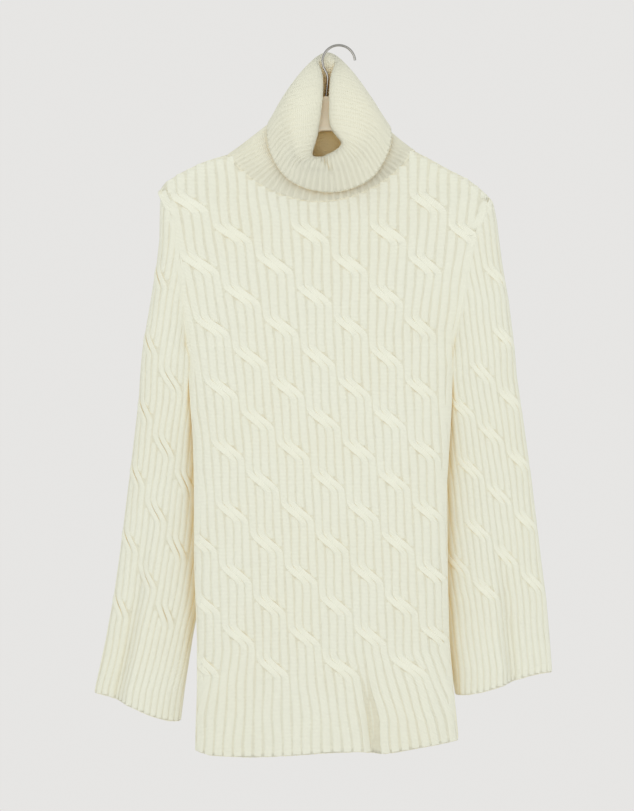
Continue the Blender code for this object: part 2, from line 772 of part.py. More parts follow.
def collar_line(name, angle):
    line = COLLAR_LINES[name]
    right = [world(line.axis + place.right, place.depth, place.right_drop) for place in line.places]
    left = [world(line.axis - place.left, place.depth, place.left_drop) for place in line.places]
    ring = left[::-1] + right[1:]
    at = (angle + pi) / (2 * pi) * (len(ring) - 1)
    return spline([ring[-2], *ring, ring[1]], at + 1)


def collar_place(angle, ring):
    lines = [neck_seam(angle)] + [collar_line(name, angle) for name in COLLAR_LINES]
    return spline(lines, ring)


def collar_outward(angle, ring):
    around = collar_place(angle + COLLAR_STEP, ring) - collar_place(angle - COLLAR_STEP, ring)
    low, high = max(ring - COLLAR_STEP, 0.0), min(ring + COLLAR_STEP, len(COLLAR_LINES))
    along = collar_place(angle, high) - collar_place(angle, low)
    return unit(np.cross(around, along))


def add_band(skin, above, below, fine, ribs, facing):
    """Joins two rings round the collar. Where fine is set, a ring has the crests of its ribs."""
    for j in range(0, ribs * COLUMNS_IN_RIB, COLUMNS_IN_RIB):
        m, k = j + 1, (j + COLUMNS_IN_RIB) % len(above)
        if all(fine):
            strips = [(above[j], above[m], below[m], below[j]), (above[m], above[k], below[k], below[m])]
        else:
            upper = [above[j], above[m], above[k]] if fine[0] else [above[j], above[k]]
            lower = [below[j], below[m], below[k]] if fine[1] else [below[j], below[k]]
            strips = [upper + lower[::-1]]
        for strip in strips:
            skin.face(*strip[::facing])


def make_collar(name):
    """A tube that is ribbed outside up the stand, and then on the side that shows once it has turned."""
    columns = COLLAR_RIBS * COLUMNS_IN_RIB
    last = len(COLLAR_RINGS) - 1
    grids, fine = {}, {}
    for facing in (1, -1):
        shown = [ring < COLLAR_TURN if facing > 0 else ring > COLLAR_TURN for ring in COLLAR_RINGS]
        fine[facing] = [any(shown[max(i - 1, 0):i + 2]) for i in range(last + 1)]
        grids[facing] = []
        for i, ring in enumerate(COLLAR_RINGS):
            row = []
            for j in range(columns):
                angle = 2 * pi * j / columns - pi
                raised = COLLAR_RIB_RAISE if shown[i] and j % COLUMNS_IN_RIB and 0 < i < last else 0.0
                out = facing * (COLLAR_WALL / 2 + raised)
                row.append(collar_place(angle, ring) + collar_outward(angle, ring) * out)
            grids[facing].append(row)
    skin = Skin()
    for facing, grid in grids.items():
        for i in range(last):
            add_band(skin, grid[i], grid[i + 1], fine[facing][i:i + 2], COLLAR_RIBS, facing)
    outer, inner = grids[1], grids[-1]
    for j in range(0, columns, COLUMNS_IN_RIB):
        around = [j, j + 1, (j + COLUMNS_IN_RIB) % columns]
        low = [outer[0][k] for k in around]
        edge = [inner[last][k] for k in around]
        add_rim(skin, low[::-1], (inner[0][around[-1]], inner[0][j]))
        add_rim(skin, edge[::-1], (outer[last][around[-1]], outer[last][j]))
    return make(name, skin, skin.points)


# --- hanger and hook -------------------------------------------------------------------------------

def make_hanger(name):
    """A flat board with bevelled edges, as sections square to its length."""
    steps = HANGER_PLACE_STEPS * (len(HANGER) - 1)
    half, bevel = HANGER_HALF_THICK, HANGER_BEVEL
    rings = []
    for step in range(steps + 1):
        x, top, bottom = spline(np.array(HANGER, float), step / HANGER_PLACE_STEPS)
        behind = [(half - bevel, top), (half, top + bevel)]
        behind += [(half, bottom - bevel), (half - bevel, bottom)]
        before = [(-depth, drop) for depth, drop in behind[::-1]]
        rings.append([world(x, depth, drop) for depth, drop in behind + before])
    skin = Skin()
    for ring, following in zip(rings, rings[1:]):
        for k, corner in enumerate(ring):
            skin.face(ring[k - 1], following[k - 1], following[k], corner)
    skin.face(*rings[0])
    skin.face(*rings[-1][::-1])
    return link(bpy.data.objects.new(name, skin.mesh(name)), HANGER_COLOUR, HANGER_ROUGHNESS)


def hook_points():
    """From the tip over the crown and down to the hanger, along the middle of the wire."""
    centre_x, centre_drop = HOOK_CENTRE
    for degrees in range(HOOK_TIP_ANGLE, 181, HOOK_STEP_ANGLE):
        angle = radians(degrees)
        yield centre_x + HOOK_BEND_RADIUS * cos(angle), centre_drop - HOOK_BEND_RADIUS * sin(angle)
    for step in range(HOOK_PLACE_STEPS * (len(HOOK_NECK) - 1) + 1):
        yield tuple(spline(np.array(HOOK_NECK, float), step / HOOK_PLACE_STEPS))


def make_hook(name):
    data = bpy.data.curves.new(name, "CURVE")
    data.dimensions = "3D"
    data.bevel_depth = HOOK_WIRE_RADIUS * MM
    data.bevel_resolution = 2
    data.use_fill_caps = True
    points = list(hook_points())
    line = data.splines.new("POLY")
    line.points.add(len(points) - 1)
    for point, (x, drop) in zip(line.points, points):
        point.co = (x * MM, 0, -drop * MM, 1)
    return link(bpy.data.objects.new(name, data), HOOK_COLOUR, HOOK_ROUGHNESS, 1.0)


for old in list(bpy.data.objects):
    bpy.data.objects.remove(old, do_unlink=True)
dress = bpy.data.collections.new("knit_dress")
bpy.context.scene.collection.children.link(dress)

TIP_DROP = {sign: shoulder_tip(sign) for sign in (LEFT, RIGHT)}
make_body("front", FRONT)
make_body("back", BACK)
make_sleeve("sleeve_left", LEFT_SLEEVE)
make_sleeve("sleeve_right", RIGHT_SLEEVE)
make_collar("collar")
make_hanger("hanger")
make_hook("hook")
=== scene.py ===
"""Knit dress on a hanger: the looks of its knitted pieces, the hanger and the hook."""

import json
from collections import namedtuple
from math import pi, radians

import bmesh
import bpy
import numpy as np
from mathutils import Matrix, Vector

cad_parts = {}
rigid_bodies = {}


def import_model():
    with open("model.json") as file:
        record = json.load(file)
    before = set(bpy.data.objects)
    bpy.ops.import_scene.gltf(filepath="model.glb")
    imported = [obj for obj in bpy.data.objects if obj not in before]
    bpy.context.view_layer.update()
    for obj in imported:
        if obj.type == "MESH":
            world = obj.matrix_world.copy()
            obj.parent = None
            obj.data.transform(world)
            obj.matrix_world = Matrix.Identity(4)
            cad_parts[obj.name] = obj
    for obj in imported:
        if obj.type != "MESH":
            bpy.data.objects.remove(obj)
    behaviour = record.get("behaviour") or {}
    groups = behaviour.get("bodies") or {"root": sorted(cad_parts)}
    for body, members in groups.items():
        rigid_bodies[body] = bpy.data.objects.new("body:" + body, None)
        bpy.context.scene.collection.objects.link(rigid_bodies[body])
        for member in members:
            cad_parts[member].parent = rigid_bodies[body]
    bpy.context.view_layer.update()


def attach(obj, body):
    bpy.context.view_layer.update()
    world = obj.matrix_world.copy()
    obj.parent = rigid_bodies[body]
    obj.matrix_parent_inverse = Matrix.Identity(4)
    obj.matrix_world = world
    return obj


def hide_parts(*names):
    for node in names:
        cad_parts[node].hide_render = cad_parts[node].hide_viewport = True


for old in list(bpy.data.objects):
    bpy.data.objects.remove(old, do_unlink=True)
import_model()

# Lengths are in millimetres until a mesh is made. X runs to the right as seen from the front, Y
# from the front to the back, and every height is a drop: how far a point lies below the underside
# of the hook's crown.
MM = 0.001

WALL = 1.6
GROUND = 2.3  # the cloth between two ribs, above the middle of the wall
RIB_RAISE = 1.8  # how far a rib stands above the cloth beside it
SKIN = WALL / 2 + RIB_RAISE  # middle of the wall to the outline
SEAM_GAP = 0.3
SETTLE_STEPS = 60
SETTLE_SHARE = 0.4
DIFFERENCE = 0.5  # step of the slopes that give a wall's outward direction

FRONT, BACK = -1, 1
LEFT, RIGHT = -1, 1
UNDERARM_DROP = 403.0
RIDGE_ROUND = 12.0  # how far below the shoulder line the cloth has turned down
TIP_ROUND = 10.0  # how far below the shoulder's tip the sleeve has its full depth
SHOULDER_ROUND = 7.0  # how far the sleeve's outer edge is drawn in at the shoulder's tip
SHOULDER_ROUND_DROP = 34.0  # and how far below the tip it no longer is
SOFT_TOP = 35.0  # above and below the tip, where the body's cloth eases into the armhole's depth
SOFT_FROM = 0.93  # of the half width, from which the cloth follows the armhole's edge itself
THICK_EDGE = 6.0  # the body's section is an ellipse with no edge, and a parabola with this one
TUCK = 2.5  # how far a sleeve's inner edge lies behind the body, below the underarm
TUCK_START = 25.0  # below the underarm, where it lies there in full
TUCK_FADE, TUCK_END = 60.0, 560.0  # it comes out again over the first, down to the second

# The knitting: ribs in groups of four, whose left pair crosses over the right pair.
RIBS_IN_GROUP = 4
RIB_WIDTH_SHARE = 0.93  # of the distance between two ribs
RIB_THICKNESS = 2.8
RIB_SINK = 1.4  # the crown of a rib to its middle line
RIB_FULLNESS = 0.62  # 1 for an oval rib, less for one with a flat crown
RIB_STEP = 4.0
RIB_SIDES = 10
SHORTEST_RIB = 12.0
TOP_GAP = 0.4  # between the top of a rib and the edge that it starts at
ARMHOLE_MARGIN, SIDE_MARGIN = 1.5, 3.5  # from the middle of the last rib to the seam or side
MARGIN_FADE = 30.0  # above the underarm, where the one margin becomes the other
MOVED_SHARE = 1.02  # how much of its width a rib that runs off a side may be slid back along it
MOVED_SINK = 0.035  # how much it sinks for each millimetre of that
SIDE_GIRTH = 0.8  # of the rib that runs down the body's side
CABLE_REACH = 15.0  # half of the height in which a cable crosses
CABLE_RAISE = 1.5  # how far a rib stands out in the middle of its crossing
CABLE_SINK = 1.3  # how far one lies back where it goes under
LEAN_SHARE = 0.2  # the power by which a rib that leans is drawn thinner
SWAY = 0.09  # how far the ribs lean to either side between their cables, in ribs
STITCH = 0.0018  # from one row of stitches to the next, in metres
LAST_CABLE = 835.0
CABLE_STEP = 41.5
CABLE_ROWS = 17
CABLE_SIDE_ROOM, CABLE_TOP_ROOM = 6.0, 8.0  # a cable is left out where it would come nearer
BODY_GROUPS = 9

NECK_LEFT, NECK_RIGHT = -147.0, 101.0
NECK_DEPTH = {FRONT: 66.0, BACK: 15.0}
NECK_CURVE = 0.8

SLEEVE_RIB = 8.6
SLEEVE_GROUPS = 10
SLEEVE_PITCH = SLEEVE_RIB * RIBS_IN_GROUP
SLEEVE_FIRST_RIB = {LEFT: -5.0, RIGHT: 0.0}  # from the outer edge to the first group
# The drops of a sleeve's lowest two cables side by side, and how far apart a group's cables are.
SLEEVE_CABLES = {LEFT: ((755.3, 710.8), 89.1), RIGHT: ((722.9, 681.0), 83.0)}
SLEEVE_TOP_CABLE = 225.0
SLEEVE_REACH = {LEFT: 20.0, RIGHT: 15.0}  # half of the height in which a sleeve's cable crosses
SLEEVE_COLUMNS = 96
ROW_TILT = 0.15  # a sleeve's rows fall this much towards its inner edge

COLLAR_GROUND = 2.3  # either face of the collar, from the middle of its wall
COLLAR_GAP = 1.2
COLLAR_RIBS = 72
COLLAR_RIB = 7.2  # the distance between two ribs where a rib has its full thickness
COLLAR_RIB_SHARE = 0.98
COLLAR_RIB_THICKNESS = 2.4
COLLAR_RIB_SINK = 1.2
COLLAR_RIB_GIRTHS = 0.35, 1.25  # the thinnest and the fullest
COLLAR_RIB_STEP = 3.0
COLLAR_RIB_PLACES = 160
COLLAR_TOP = 2.4  # the crown of a rib above the middle of the collar's wall
COLLAR_STEP = 0.02  # in angle and in lines, for the collar's slopes
COLLAR_COLUMNS = 288
COLLAR_ROWS = 64
COLLAR_LENGTH = 176.0  # round the fold, from the neck seam to the free edge
COLLAR_WALE = 7.0  # from one rib to the next in the collar's own pattern
# Lines between which a rib is knitted on the stand's outside, and on the side that shows.
STAND_RINGS = (0.03, 1.9)
SHOWN_RINGS = (1.2, 3.985)
SHOWN_FROM, SHOWN_FULL = 1.8, 2.3  # between which the creases fade in
SHOWN_DEPTH = -6.0  # and how far to the front they are full

HANGER_HALF_THICK = 4.0
HANGER_PLACE_STEPS = 8
HANGER_CORNER = 2.0
CORNER_STEPS = 4
HOOK_WIRE_RADIUS = 1.7
HOOK_BEND_RADIUS = 22.0

HEM_END = 960.0


def rows(kind, *values):
    """A table of one kind of row."""
    return tuple(kind(*value) for value in values)


# The outline of the body as seen from the front, and how far its middle stands out to either side.
BodyLevel = namedtuple("BodyLevel", "drop left right front back")
BODY_LEVELS = rows(BodyLevel,
    (140, -246, 216, 10, 10), (199, -241, 211, 11, 10.5), (223, -229, 200, 13, 12),
    (242, -223, 190, 15, 13), (267, -218, 182, 17, 14.5), (295, -214, 176, 19, 16),
    (342, -212, 170, 22, 18), (403, -209, 160, 25, 19), (418, -204, 158, 25.5, 19.5),
    (444, -202, 155, 26, 20), (477, -200, 154, 26.5, 20), (531, -196, 151, 27, 20),
    (585, -194.5, 147.5, 27, 20), (693, -194.5, 148, 26, 20), (747, -192.5, 149, 26, 20),
    (801, -190.5, 150.5, 25, 20), (869, -190.5, 156.5, 25, 20), (924, -192.5, 162, 26, 21),
    (960, -193, 163.5, 26, 21))

# Where the fifth group of ribs runs, and how wide a group is.
RibLevel = namedtuple("RibLevel", "drop middle pitch")
RIB_LEVELS = rows(RibLevel,
    (140, -43, 54.5), (207, -40.5, 54), (261, -36.5, 52), (383, -29.5, 46.2), (464, -23, 44.6),
    (545, -16, 43.9), (666, -8, 43.9), (815, 0, 44.2), (905, 15, 51.3), (960, 19, 53.3))

# The top of the shoulders from outside to inside, and on up the sides of the collar's stand.
RidgePoint = namedtuple("RidgePoint", "x drop")
RIDGE = rows(RidgePoint,
    (-246, 206), (-241.5, 198), (-233.5, 184.5), (-213, 171), (-186, 157.5), (-172, 152.5),
    (-147, 145), (-107, 116), (-23, 50), (70, 116), (101, 140), (124, 152), (150, 166.5),
    (172.5, 177.5), (190.5, 191), (204, 204.5), (209, 214), (214, 224))

# Folds that run down to the hem: where, how wide and deep, and the height in which they fade in.
Fold = namedtuple("Fold", "top_x hem_x width depth top_drop full_drop")
FRONT_FOLDS = rows(Fold,
    (31, 50, 9, 9, 800, 930), (-110, -120, 26, 3, 560, 900), (-30, -42, 30, -2.5, 500, 900),
    (112, 126, 16, -3, 620, 930))
BACK_FOLDS = rows(Fold,
    (-70, -88, 14, 6, 700, 930), (60, 75, 20, 4, 560, 900), (-8, -4, 30, -3, 520, 900))

# Hem of the front, which dips between its folds.
HemPoint = namedtuple("HemPoint", "x drop")
FRONT_HEM = rows(HemPoint,
    (-193, 949), (-170, 954.5), (-115, 956), (-50, 951.5), (-20, 949), (30, 947.5), (56, 951),
    (80, 948.5), (120, 941.5), (163, 935))
BACK_HEM = rows(HemPoint,
    (-193, 949), (-90, 951), (0, 948), (90, 943), (163, 935))

# Each sleeve's outline from the front, with its middle's place and half its depth from front to
# back.
SleeveLevel = namedtuple("SleeveLevel", "drop outer inner middle half_depth")
LEFT_SLEEVE_LEVELS = rows(SleeveLevel,
    (199, -242, -240, 0, 10), (223, -240.5, -229, 0, 13), (261, -241, -219, 0, 16),
    (295, -245, -214, 0, 18), (344, -253, -212, 0, 18), (403, -263, -209.5, 0, 17),
    (418, -265, -207, 2, 17), (444, -267.5, -205, 7, 17), (477, -270, -201, 14, 17),
    (531, -277, -193, 22, 17.5), (585, -284, -188, 28, 18), (693, -298, -185, 32, 20),
    (747, -306, -188, 31, 22), (803, -316, -198, 27, 24), (869, -330, -208, 21, 26),
    (912, -336, -213, 17, 27))
RIGHT_SLEEVE_LEVELS = rows(SleeveLevel,
    (199, 213, 211, 0, 10), (223, 213, 200, 0, 13), (261, 217.5, 183.5, 0, 16),
    (295, 222, 176, 0, 18), (344, 230.5, 170, 0, 18), (403, 238, 160.5, 0, 17),
    (418, 239.5, 161, 2, 17), (444, 242, 159.5, 7, 17), (477, 247.5, 157, 14, 17),
    (531, 256, 148, 22, 17.5), (585, 264, 142, 28, 18), (693, 277.5, 140, 32, 20),
    (747, 284.5, 141, 31, 22), (803, 289, 147, 27, 24), (842, 291.5, 154, 22, 25),
    (880, 292, 160, 19, 26))

# A sleeve's cuff falls from its outer to its inner edge. Its fold is a step down the front,
# outside of which the cloth lies further back.
SleevePlan = namedtuple("SleevePlan", "sign cuff_outer cuff_inner fold_in")
LEFT_SLEEVE = SleevePlan(LEFT, 874, 911, 40)
RIGHT_SLEEVE = SleevePlan(RIGHT, 846, 876, 62)
FOLD_TOP_DROP, FOLD_FULL_DROP = 560.0, 860.0
FOLD_SHARE = 0.5  # of the depth outside the fold that the step takes away
FOLD_VALLEY = 4.0
FOLD_WIDTH = 9.0
FOLD_END = 4.0  # how steeply the fold's valley rises again to the sleeve's edges
SECTION_STEPS = 72

# The collar's knitted lines above its neck seam: up the stand, over the fold and down to the free
# edge. Each row is a place round the neck, from the front middle to the back middle, with how far
# it lies to the left and to the right of the line's axis.
NeckPlace = namedtuple("NeckPlace", "left right left_drop right_drop depth")
CollarLine = namedtuple("CollarLine", "axis places")
COLLAR_LINES = {
    "stand": CollarLine(-18, rows(NeckPlace,
        (0, 0, 180, 180, -12), (48, 48, 170, 170, -13), (76, 76, 149, 149, -11),
        (84, 84, 118, 118, -3), (72, 72, 106, 106, 9), (42, 42, 104, 104, 12),
        (0, 0, 106, 106, 13))),
    "fold": CollarLine(-15, rows(NeckPlace,
        (0, 0, 150, 150, -18), (21, 21, 150, 134, -19), (14, 6, 118, 108, -16),
        (8, 5, 74, 72, -12), (8, 7, 44, 44, -3), (12, 12, 23, 23, 7), (0, 0, 14, 14, 11))),
    "lobe": CollarLine(-13, rows(NeckPlace,
        (0, 0, 171, 171, -28), (38, 36, 160, 154, -31), (53, 52, 126, 120, -29),
        (57, 53, 84, 84, -23), (46, 43, 51, 53, -2), (28, 26, 28, 29, 16), (0, 0, 24, 24, 21))),
    "edge": CollarLine(-12, rows(NeckPlace,
        (0, 0, 198, 198, -21), (50, 50, 184, 184, -24), (76, 76, 150, 150, -22),
        (82, 82, 112, 116, -12), (71, 69, 91, 95, 15), (41, 40, 80, 81, 24), (0, 0, 79, 79, 26))),
}

# Soft troughs in the side of the collar that shows, from one place to another.
CREASE_FADE = 0.25  # of its length, past either end and back
Crease = namedtuple("Crease", "from_x from_drop to_x to_drop width depth")
COLLAR_CREASES = rows(Crease,
    (-20, 152, -9, 170, 4, 4.0), (-58, 70, -64, 118, 7, 2.5), (-64, 118, -52, 158, 7, 2.5),
    (-40, 145, -62, 165, 6, 2.0), (14, 138, 34, 160, 8, 2.0), (8, 60, 34, 96, 8, 1.5))

# The hanger's outline.
HangerPlace = namedtuple("HangerPlace", "x top bottom")
HANGER = rows(HangerPlace,
    (-212, 185, 193), (-204, 175, 190), (-184, 169, 187), (-147, 163, 178), (-132, 157, 172),
    (-102, 136, 155), (-60, 104, 133), (-30, 76, 117), (-16, 67, 114), (-2, 76, 117),
    (30, 106, 136), (62, 130, 153), (101, 150, 171), (150, 174.5, 193), (172, 189, 203),
    (181, 199, 206))

HOOK_CENTRE = (1.0, 20.3)
HOOK_TIP_ANGLE = 4
HOOK_ROUND_STEP = 4
HOOK_ROUNDNESS = 6
HOOK_NECK_STEPS = 8
HookPlace = namedtuple("HookPlace", "x drop")
HOOK_NECK = rows(HookPlace,
    (-19.5, 28), (-14.5, 39), (-14.2, 50), (-16, 66.6))


def table(rows, key, *names):
    """The named columns of a table's rows, as one function of the key column."""
    keys = [getattr(row, key) for row in rows]
    columns = [[getattr(row, name) for row in rows] for name in names]
    return lambda at: [np.interp(at, keys, column) for column in columns]


body_level = table(BODY_LEVELS, "drop", "left", "right", "front", "back")
rib_level = table(RIB_LEVELS, "drop", "middle", "pitch")
ridge_level = table(RIDGE, "x", "drop")
sleeve_levels = {sign: table(levels, "drop", "outer", "inner", "middle", "half_depth")
                 for sign, levels in ((LEFT, LEFT_SLEEVE_LEVELS), (RIGHT, RIGHT_SLEEVE_LEVELS))}
hem_levels = {FRONT: table(FRONT_HEM, "x", "drop"), BACK: table(BACK_HEM, "x", "drop")}


def quarter_round(share):
    """From 0 at the edge of a rolled form to 1 where it has turned away from it."""
    return np.sqrt(np.maximum(0.0, 1 - (1 - np.clip(share, 0.0, 1.0)) ** 2))


def ease(low, high, at):
    share = np.clip((at - low) / (high - low), 0.0, 1.0)
    return share * share * (3 - 2 * share)


def unit(vectors):
    return vectors / np.maximum(np.linalg.norm(vectors, axis=-1, keepdims=True), 1e-9)


def world(x, depth, drop):
    return np.stack(np.broadcast_arrays(x, depth, -np.asarray(drop, float)), axis=-1).astype(float)


# --- the armhole, which the body and the sleeves share ---

def ridge_middle(x):
    """The middle of the wall along the top of the shoulders."""
    return ridge_level(x)[0] + SKIN


def edge_x(sign, drop):
    """The middle of the wall down one side of the body."""
    left, right, _, _ = body_level(drop)
    return left + SKIN if sign < 0 else right - SKIN


def settle(aim, start=UNDERARM_DROP):
    """The drop at which the aim for it is that same drop, found from below."""
    drop = start
    for _ in range(SETTLE_STEPS):
        drop = drop + SETTLE_SHARE * (aim(drop) - drop)
    return drop


TIP_DROP = {}
for side_sign in (LEFT, RIGHT):
    TIP_DROP[side_sign] = settle(lambda drop, sign=side_sign: ridge_middle(edge_x(sign, drop)))


def armhole_turn(sign, drop):
    """How far round its own section a sleeve has gone where it meets the body."""
    tip = TIP_DROP[sign]
    share = np.clip((drop - tip) / (UNDERARM_DROP - tip), 0.0, 1.0)
    return pi / 2 * (1 + share ** 2)


def sleeve_bulge(sign, drop):
    half_depth = sleeve_levels[sign](drop)[3]
    return half_depth * quarter_round((drop - TIP_DROP[sign]) / TIP_ROUND)


def armhole_depth(sign, drop):
    """Half of the armhole's opening from front to back."""
    depth = sleeve_bulge(sign, drop) * np.sin(armhole_turn(sign, drop))
    return np.where(drop >= UNDERARM_DROP, 0.0, depth)


def panel_edge(sign, across, drop):
    """The armhole's depth as the body takes it up, more slowly away from the edge itself."""
    tip = TIP_DROP[sign]
    soft = ease(tip - SOFT_TOP, tip + SOFT_TOP, drop)
    soft = soft * armhole_depth(sign, np.maximum(drop, tip + TIP_ROUND))
    near = ease(SOFT_FROM, 1.0, across)
    return soft * (1 - near) + armhole_depth(sign, drop) * near


# --- front and back ---

def fold_depth(side, x, drop):
    """How far the folds take the cloth in."""
    total = 0.0
    for fold in FRONT_FOLDS if side == FRONT else BACK_FOLDS:
        share = np.maximum((drop - fold.top_drop) / (HEM_END - fold.top_drop), 0.0)
        middle = fold.top_x + (fold.hem_x - fold.top_x) * share
        across = np.exp(-((x - middle) / fold.width) ** 2)
        total = total + fold.depth * ease(fold.top_drop, fold.full_drop, drop) * across
    return total


def body_depth(side, x, drop):
    """How far the middle of the wall stands out from the side seams' plane."""
    left, right = edge_x(LEFT, drop), edge_x(RIGHT, drop)
    across = np.minimum(np.abs(2 * (x - left) / (right - left) - 1), 1.0)
    edge = np.where(x < (left + right) / 2,
                    panel_edge(LEFT, across, drop), panel_edge(RIGHT, across, drop))
    full = body_level(drop)[2 if side == FRONT else 3]
    roundness = 0.5 + 0.5 * np.minimum(edge / THICK_EDGE, 1.0)
    crown = (1 - across ** 2) ** roundness
    depth = edge + (full - edge) * crown - fold_depth(side, x, drop) * np.minimum(1.0, 2 * crown)
    return depth * quarter_round((drop - ridge_middle(x)) / RIDGE_ROUND)


def body_surface(side, x, drop):
    """Points of the middle of the front or back wall, and their outward directions."""
    step = DIFFERENCE
    across = (body_depth(side, x + step, drop) - body_depth(side, x - step, drop)) / (2 * step)
    down = (body_depth(side, x, drop + step) - body_depth(side, x, drop - step)) / (2 * step)
    points = world(x, side * (body_depth(side, x, drop) + SEAM_GAP / 2), drop)
    return points, unit(np.stack(np.broadcast_arrays(-across, float(side), down), axis=-1))


def neck_share(x):
    """-1 and 1 where the neck meets the shoulders."""
    return 2 * (x - NECK_LEFT) / (NECK_RIGHT - NECK_LEFT) - 1


def top_drop(side, x):
    """The top of the front or the back: the shoulders, and the neck between them."""
    across = np.clip(neck_share(x), -1.0, 1.0)
    line = np.interp(across, (-1, 1), (ridge_middle(NECK_LEFT), ridge_middle(NECK_RIGHT)))
    neck = line + NECK_DEPTH[side] * (1 - across ** 2) ** NECK_CURVE
    return np.where(np.abs(across) >= 1, ridge_middle(x), neck)


# --- sleeves ---

def sleeve_sections(plan, side, drops):
    """Half of a sleeve's section at each drop, outer edge inward: distance, X and depth."""
    drops = np.asarray(drops, float)[:, None]
    sign = plan.sign
    outer, inner, middle, half_depth = sleeve_levels[sign](drops)
    rounded = SHOULDER_ROUND * (1 - quarter_round((drops - TIP_DROP[sign]) / SHOULDER_ROUND_DROP))
    start = outer - sign * (SKIN + rounded)
    above = drops < UNDERARM_DROP
    turn = np.where(above, armhole_turn(sign, drops), pi)
    tucked = ease(UNDERARM_DROP, UNDERARM_DROP + TUCK_START, drops) * TUCK
    seam_x = edge_x(sign, drops) + sign * (SEAM_GAP - tucked)
    below = np.where(sign * (inner + sign * SKIN - seam_x) > 0, seam_x, inner + sign * SKIN)
    let_go = ease(TUCK_END - TUCK_FADE, TUCK_END, drops)
    end = np.where(above, seam_x, below + (inner + sign * SKIN - below) * let_go)
    half_depth = np.where(above, sleeve_bulge(sign, drops), half_depth)
    middle = np.where(above, 0.0, middle)
    angles = turn * np.linspace(0, 1, SECTION_STEPS)
    x = start + (end - start) * (1 - np.cos(angles)) / (1 - np.cos(turn))
    depth = half_depth * np.sin(angles)
    if side == FRONT:
        inward = np.abs(x - start)
        share = ease(FOLD_TOP_DROP, FOLD_FULL_DROP, drops)
        step = 1 - ease(plan.fold_in - FOLD_WIDTH, plan.fold_in + FOLD_WIDTH, inward)
        valley = np.exp(-((inward - plan.fold_in + FOLD_WIDTH) / FOLD_WIDTH) ** 2)
        ends = np.minimum(1.0, np.sin(angles) * FOLD_END)
        depth = depth * (1 - share * FOLD_SHARE * step) - share * FOLD_VALLEY * valley * ends
        depth[:, 0] = 0.0
        depth[:, -1] = np.where(above[:, 0], depth[:, -1], 0.0)
    y = middle + side * depth
    seam = side * (armhole_depth(sign, drops) + SEAM_GAP / 2)
    y[:, -1] = np.where(above, seam, y[:, -1:])[:, 0]
    steps = np.hypot(np.diff(x, axis=1), np.diff(y, axis=1))
    run = np.concatenate((np.zeros_like(x[:, :1]), np.cumsum(steps, axis=1)), axis=1)
    return run, x, y


def along_rows(at, run, values):
    """Each row's value at its own distance."""
    after = np.clip((run < at[:, None]).sum(axis=1), 1, run.shape[1] - 1)
    row = np.arange(len(at))
    low, high = run[row, after - 1], run[row, after]
    share = np.clip((at - low) / np.maximum(high - low, 1e-9), 0.0, 1.0)
    return values[row, after - 1] * (1 - share) + values[row, after] * share


def sleeve_points(plan, around, drops):
    """Points at distances round the sleeve, rightward from outside, and the half's length."""
    found = {}
    for side in (FRONT, BACK):
        run, x, y = sleeve_sections(plan, side, drops)
        at = np.minimum(np.abs(around), run[:, -1])
        found[side] = (along_rows(at, run, x), along_rows(at, run, y), run[:, -1])
    front = around * plan.sign < 0
    x, y, length = (np.where(front, a, b) for a, b in zip(found[FRONT], found[BACK]))
    return world(x, y, drops), length


def sleeve_surface(plan, around, drops):
    """Points of the middle of a sleeve's wall, their outward directions, each half's length."""
    step = DIFFERENCE
    points, length = sleeve_points(plan, around, drops)
    beside = [sleeve_points(plan, around + move, drops)[0] for move in (step, -step)]
    below = [sleeve_points(plan, around, drops + move)[0] for move in (step, -step)]
    return points, unit(np.cross(below[0] - below[1], beside[0] - beside[1])), length


def cuff_drop(plan, x):
    outer, inner, _, _ = sleeve_levels[plan.sign](plan.cuff_inner)
    share = ease(0.0, np.abs(inner - outer), np.abs(x - outer))
    return plan.cuff_outer + (plan.cuff_inner - plan.cuff_outer) * share


# --- collar ---

def spline(points, at):
    """A smooth curve through evenly spaced points, at 0 for the first and 1 for the second."""
    last = len(points) - 1
    i = min(int(at), last - 1)
    share = at - i
    before = points[i - 1] if i > 0 else 2 * points[0] - points[1]
    after = points[i + 2] if i + 2 <= last else 2 * points[last] - points[last - 1]
    a, b = points[i], points[i + 1]
    return 0.5 * (2 * a + (b - before) * share + (2 * before - 5 * a + 4 * b - after) * share ** 2
                  + (3 * a - before - 3 * b + after) * share ** 3)


def neck_seam(angle):
    """The collar's lowest line, just off the body's neck edge."""
    side = FRONT if np.cos(angle) > 0 else BACK
    x = (NECK_LEFT + NECK_RIGHT) / 2 + (NECK_RIGHT - NECK_LEFT) / 2 * np.sin(angle)
    drop = top_drop(side, x)
    slope = top_drop(side, x + 1.0) - top_drop(side, x)
    inward = unit(np.array((float(slope), 0.0, 1.0)))
    return world(x, side * body_depth(side, x, drop), drop) + inward * COLLAR_GAP


def collar_line(name, angle):
    line = COLLAR_LINES[name]
    right = [world(line.axis + at.right, at.depth, at.right_drop) for at in line.places]
    left = [world(line.axis - at.left, at.depth, at.left_drop) for at in line.places]
    ring = left[::-1] + right[1:]
    at = (angle + pi) / (2 * pi) * (len(ring) - 1)
    return spline([ring[-2], *ring, ring[1]], at + 1)


def collar_points(angles, rings):
    """A grid of points, a row for each ring."""
    angles = (np.asarray(angles) + pi) % (2 * pi) - pi
    lines = [np.array([neck_seam(angle) for angle in angles])]
    lines += [np.array([collar_line(name, angle) for angle in angles]) for name in COLLAR_LINES]
    return np.array([spline(lines, ring) for ring in rings])


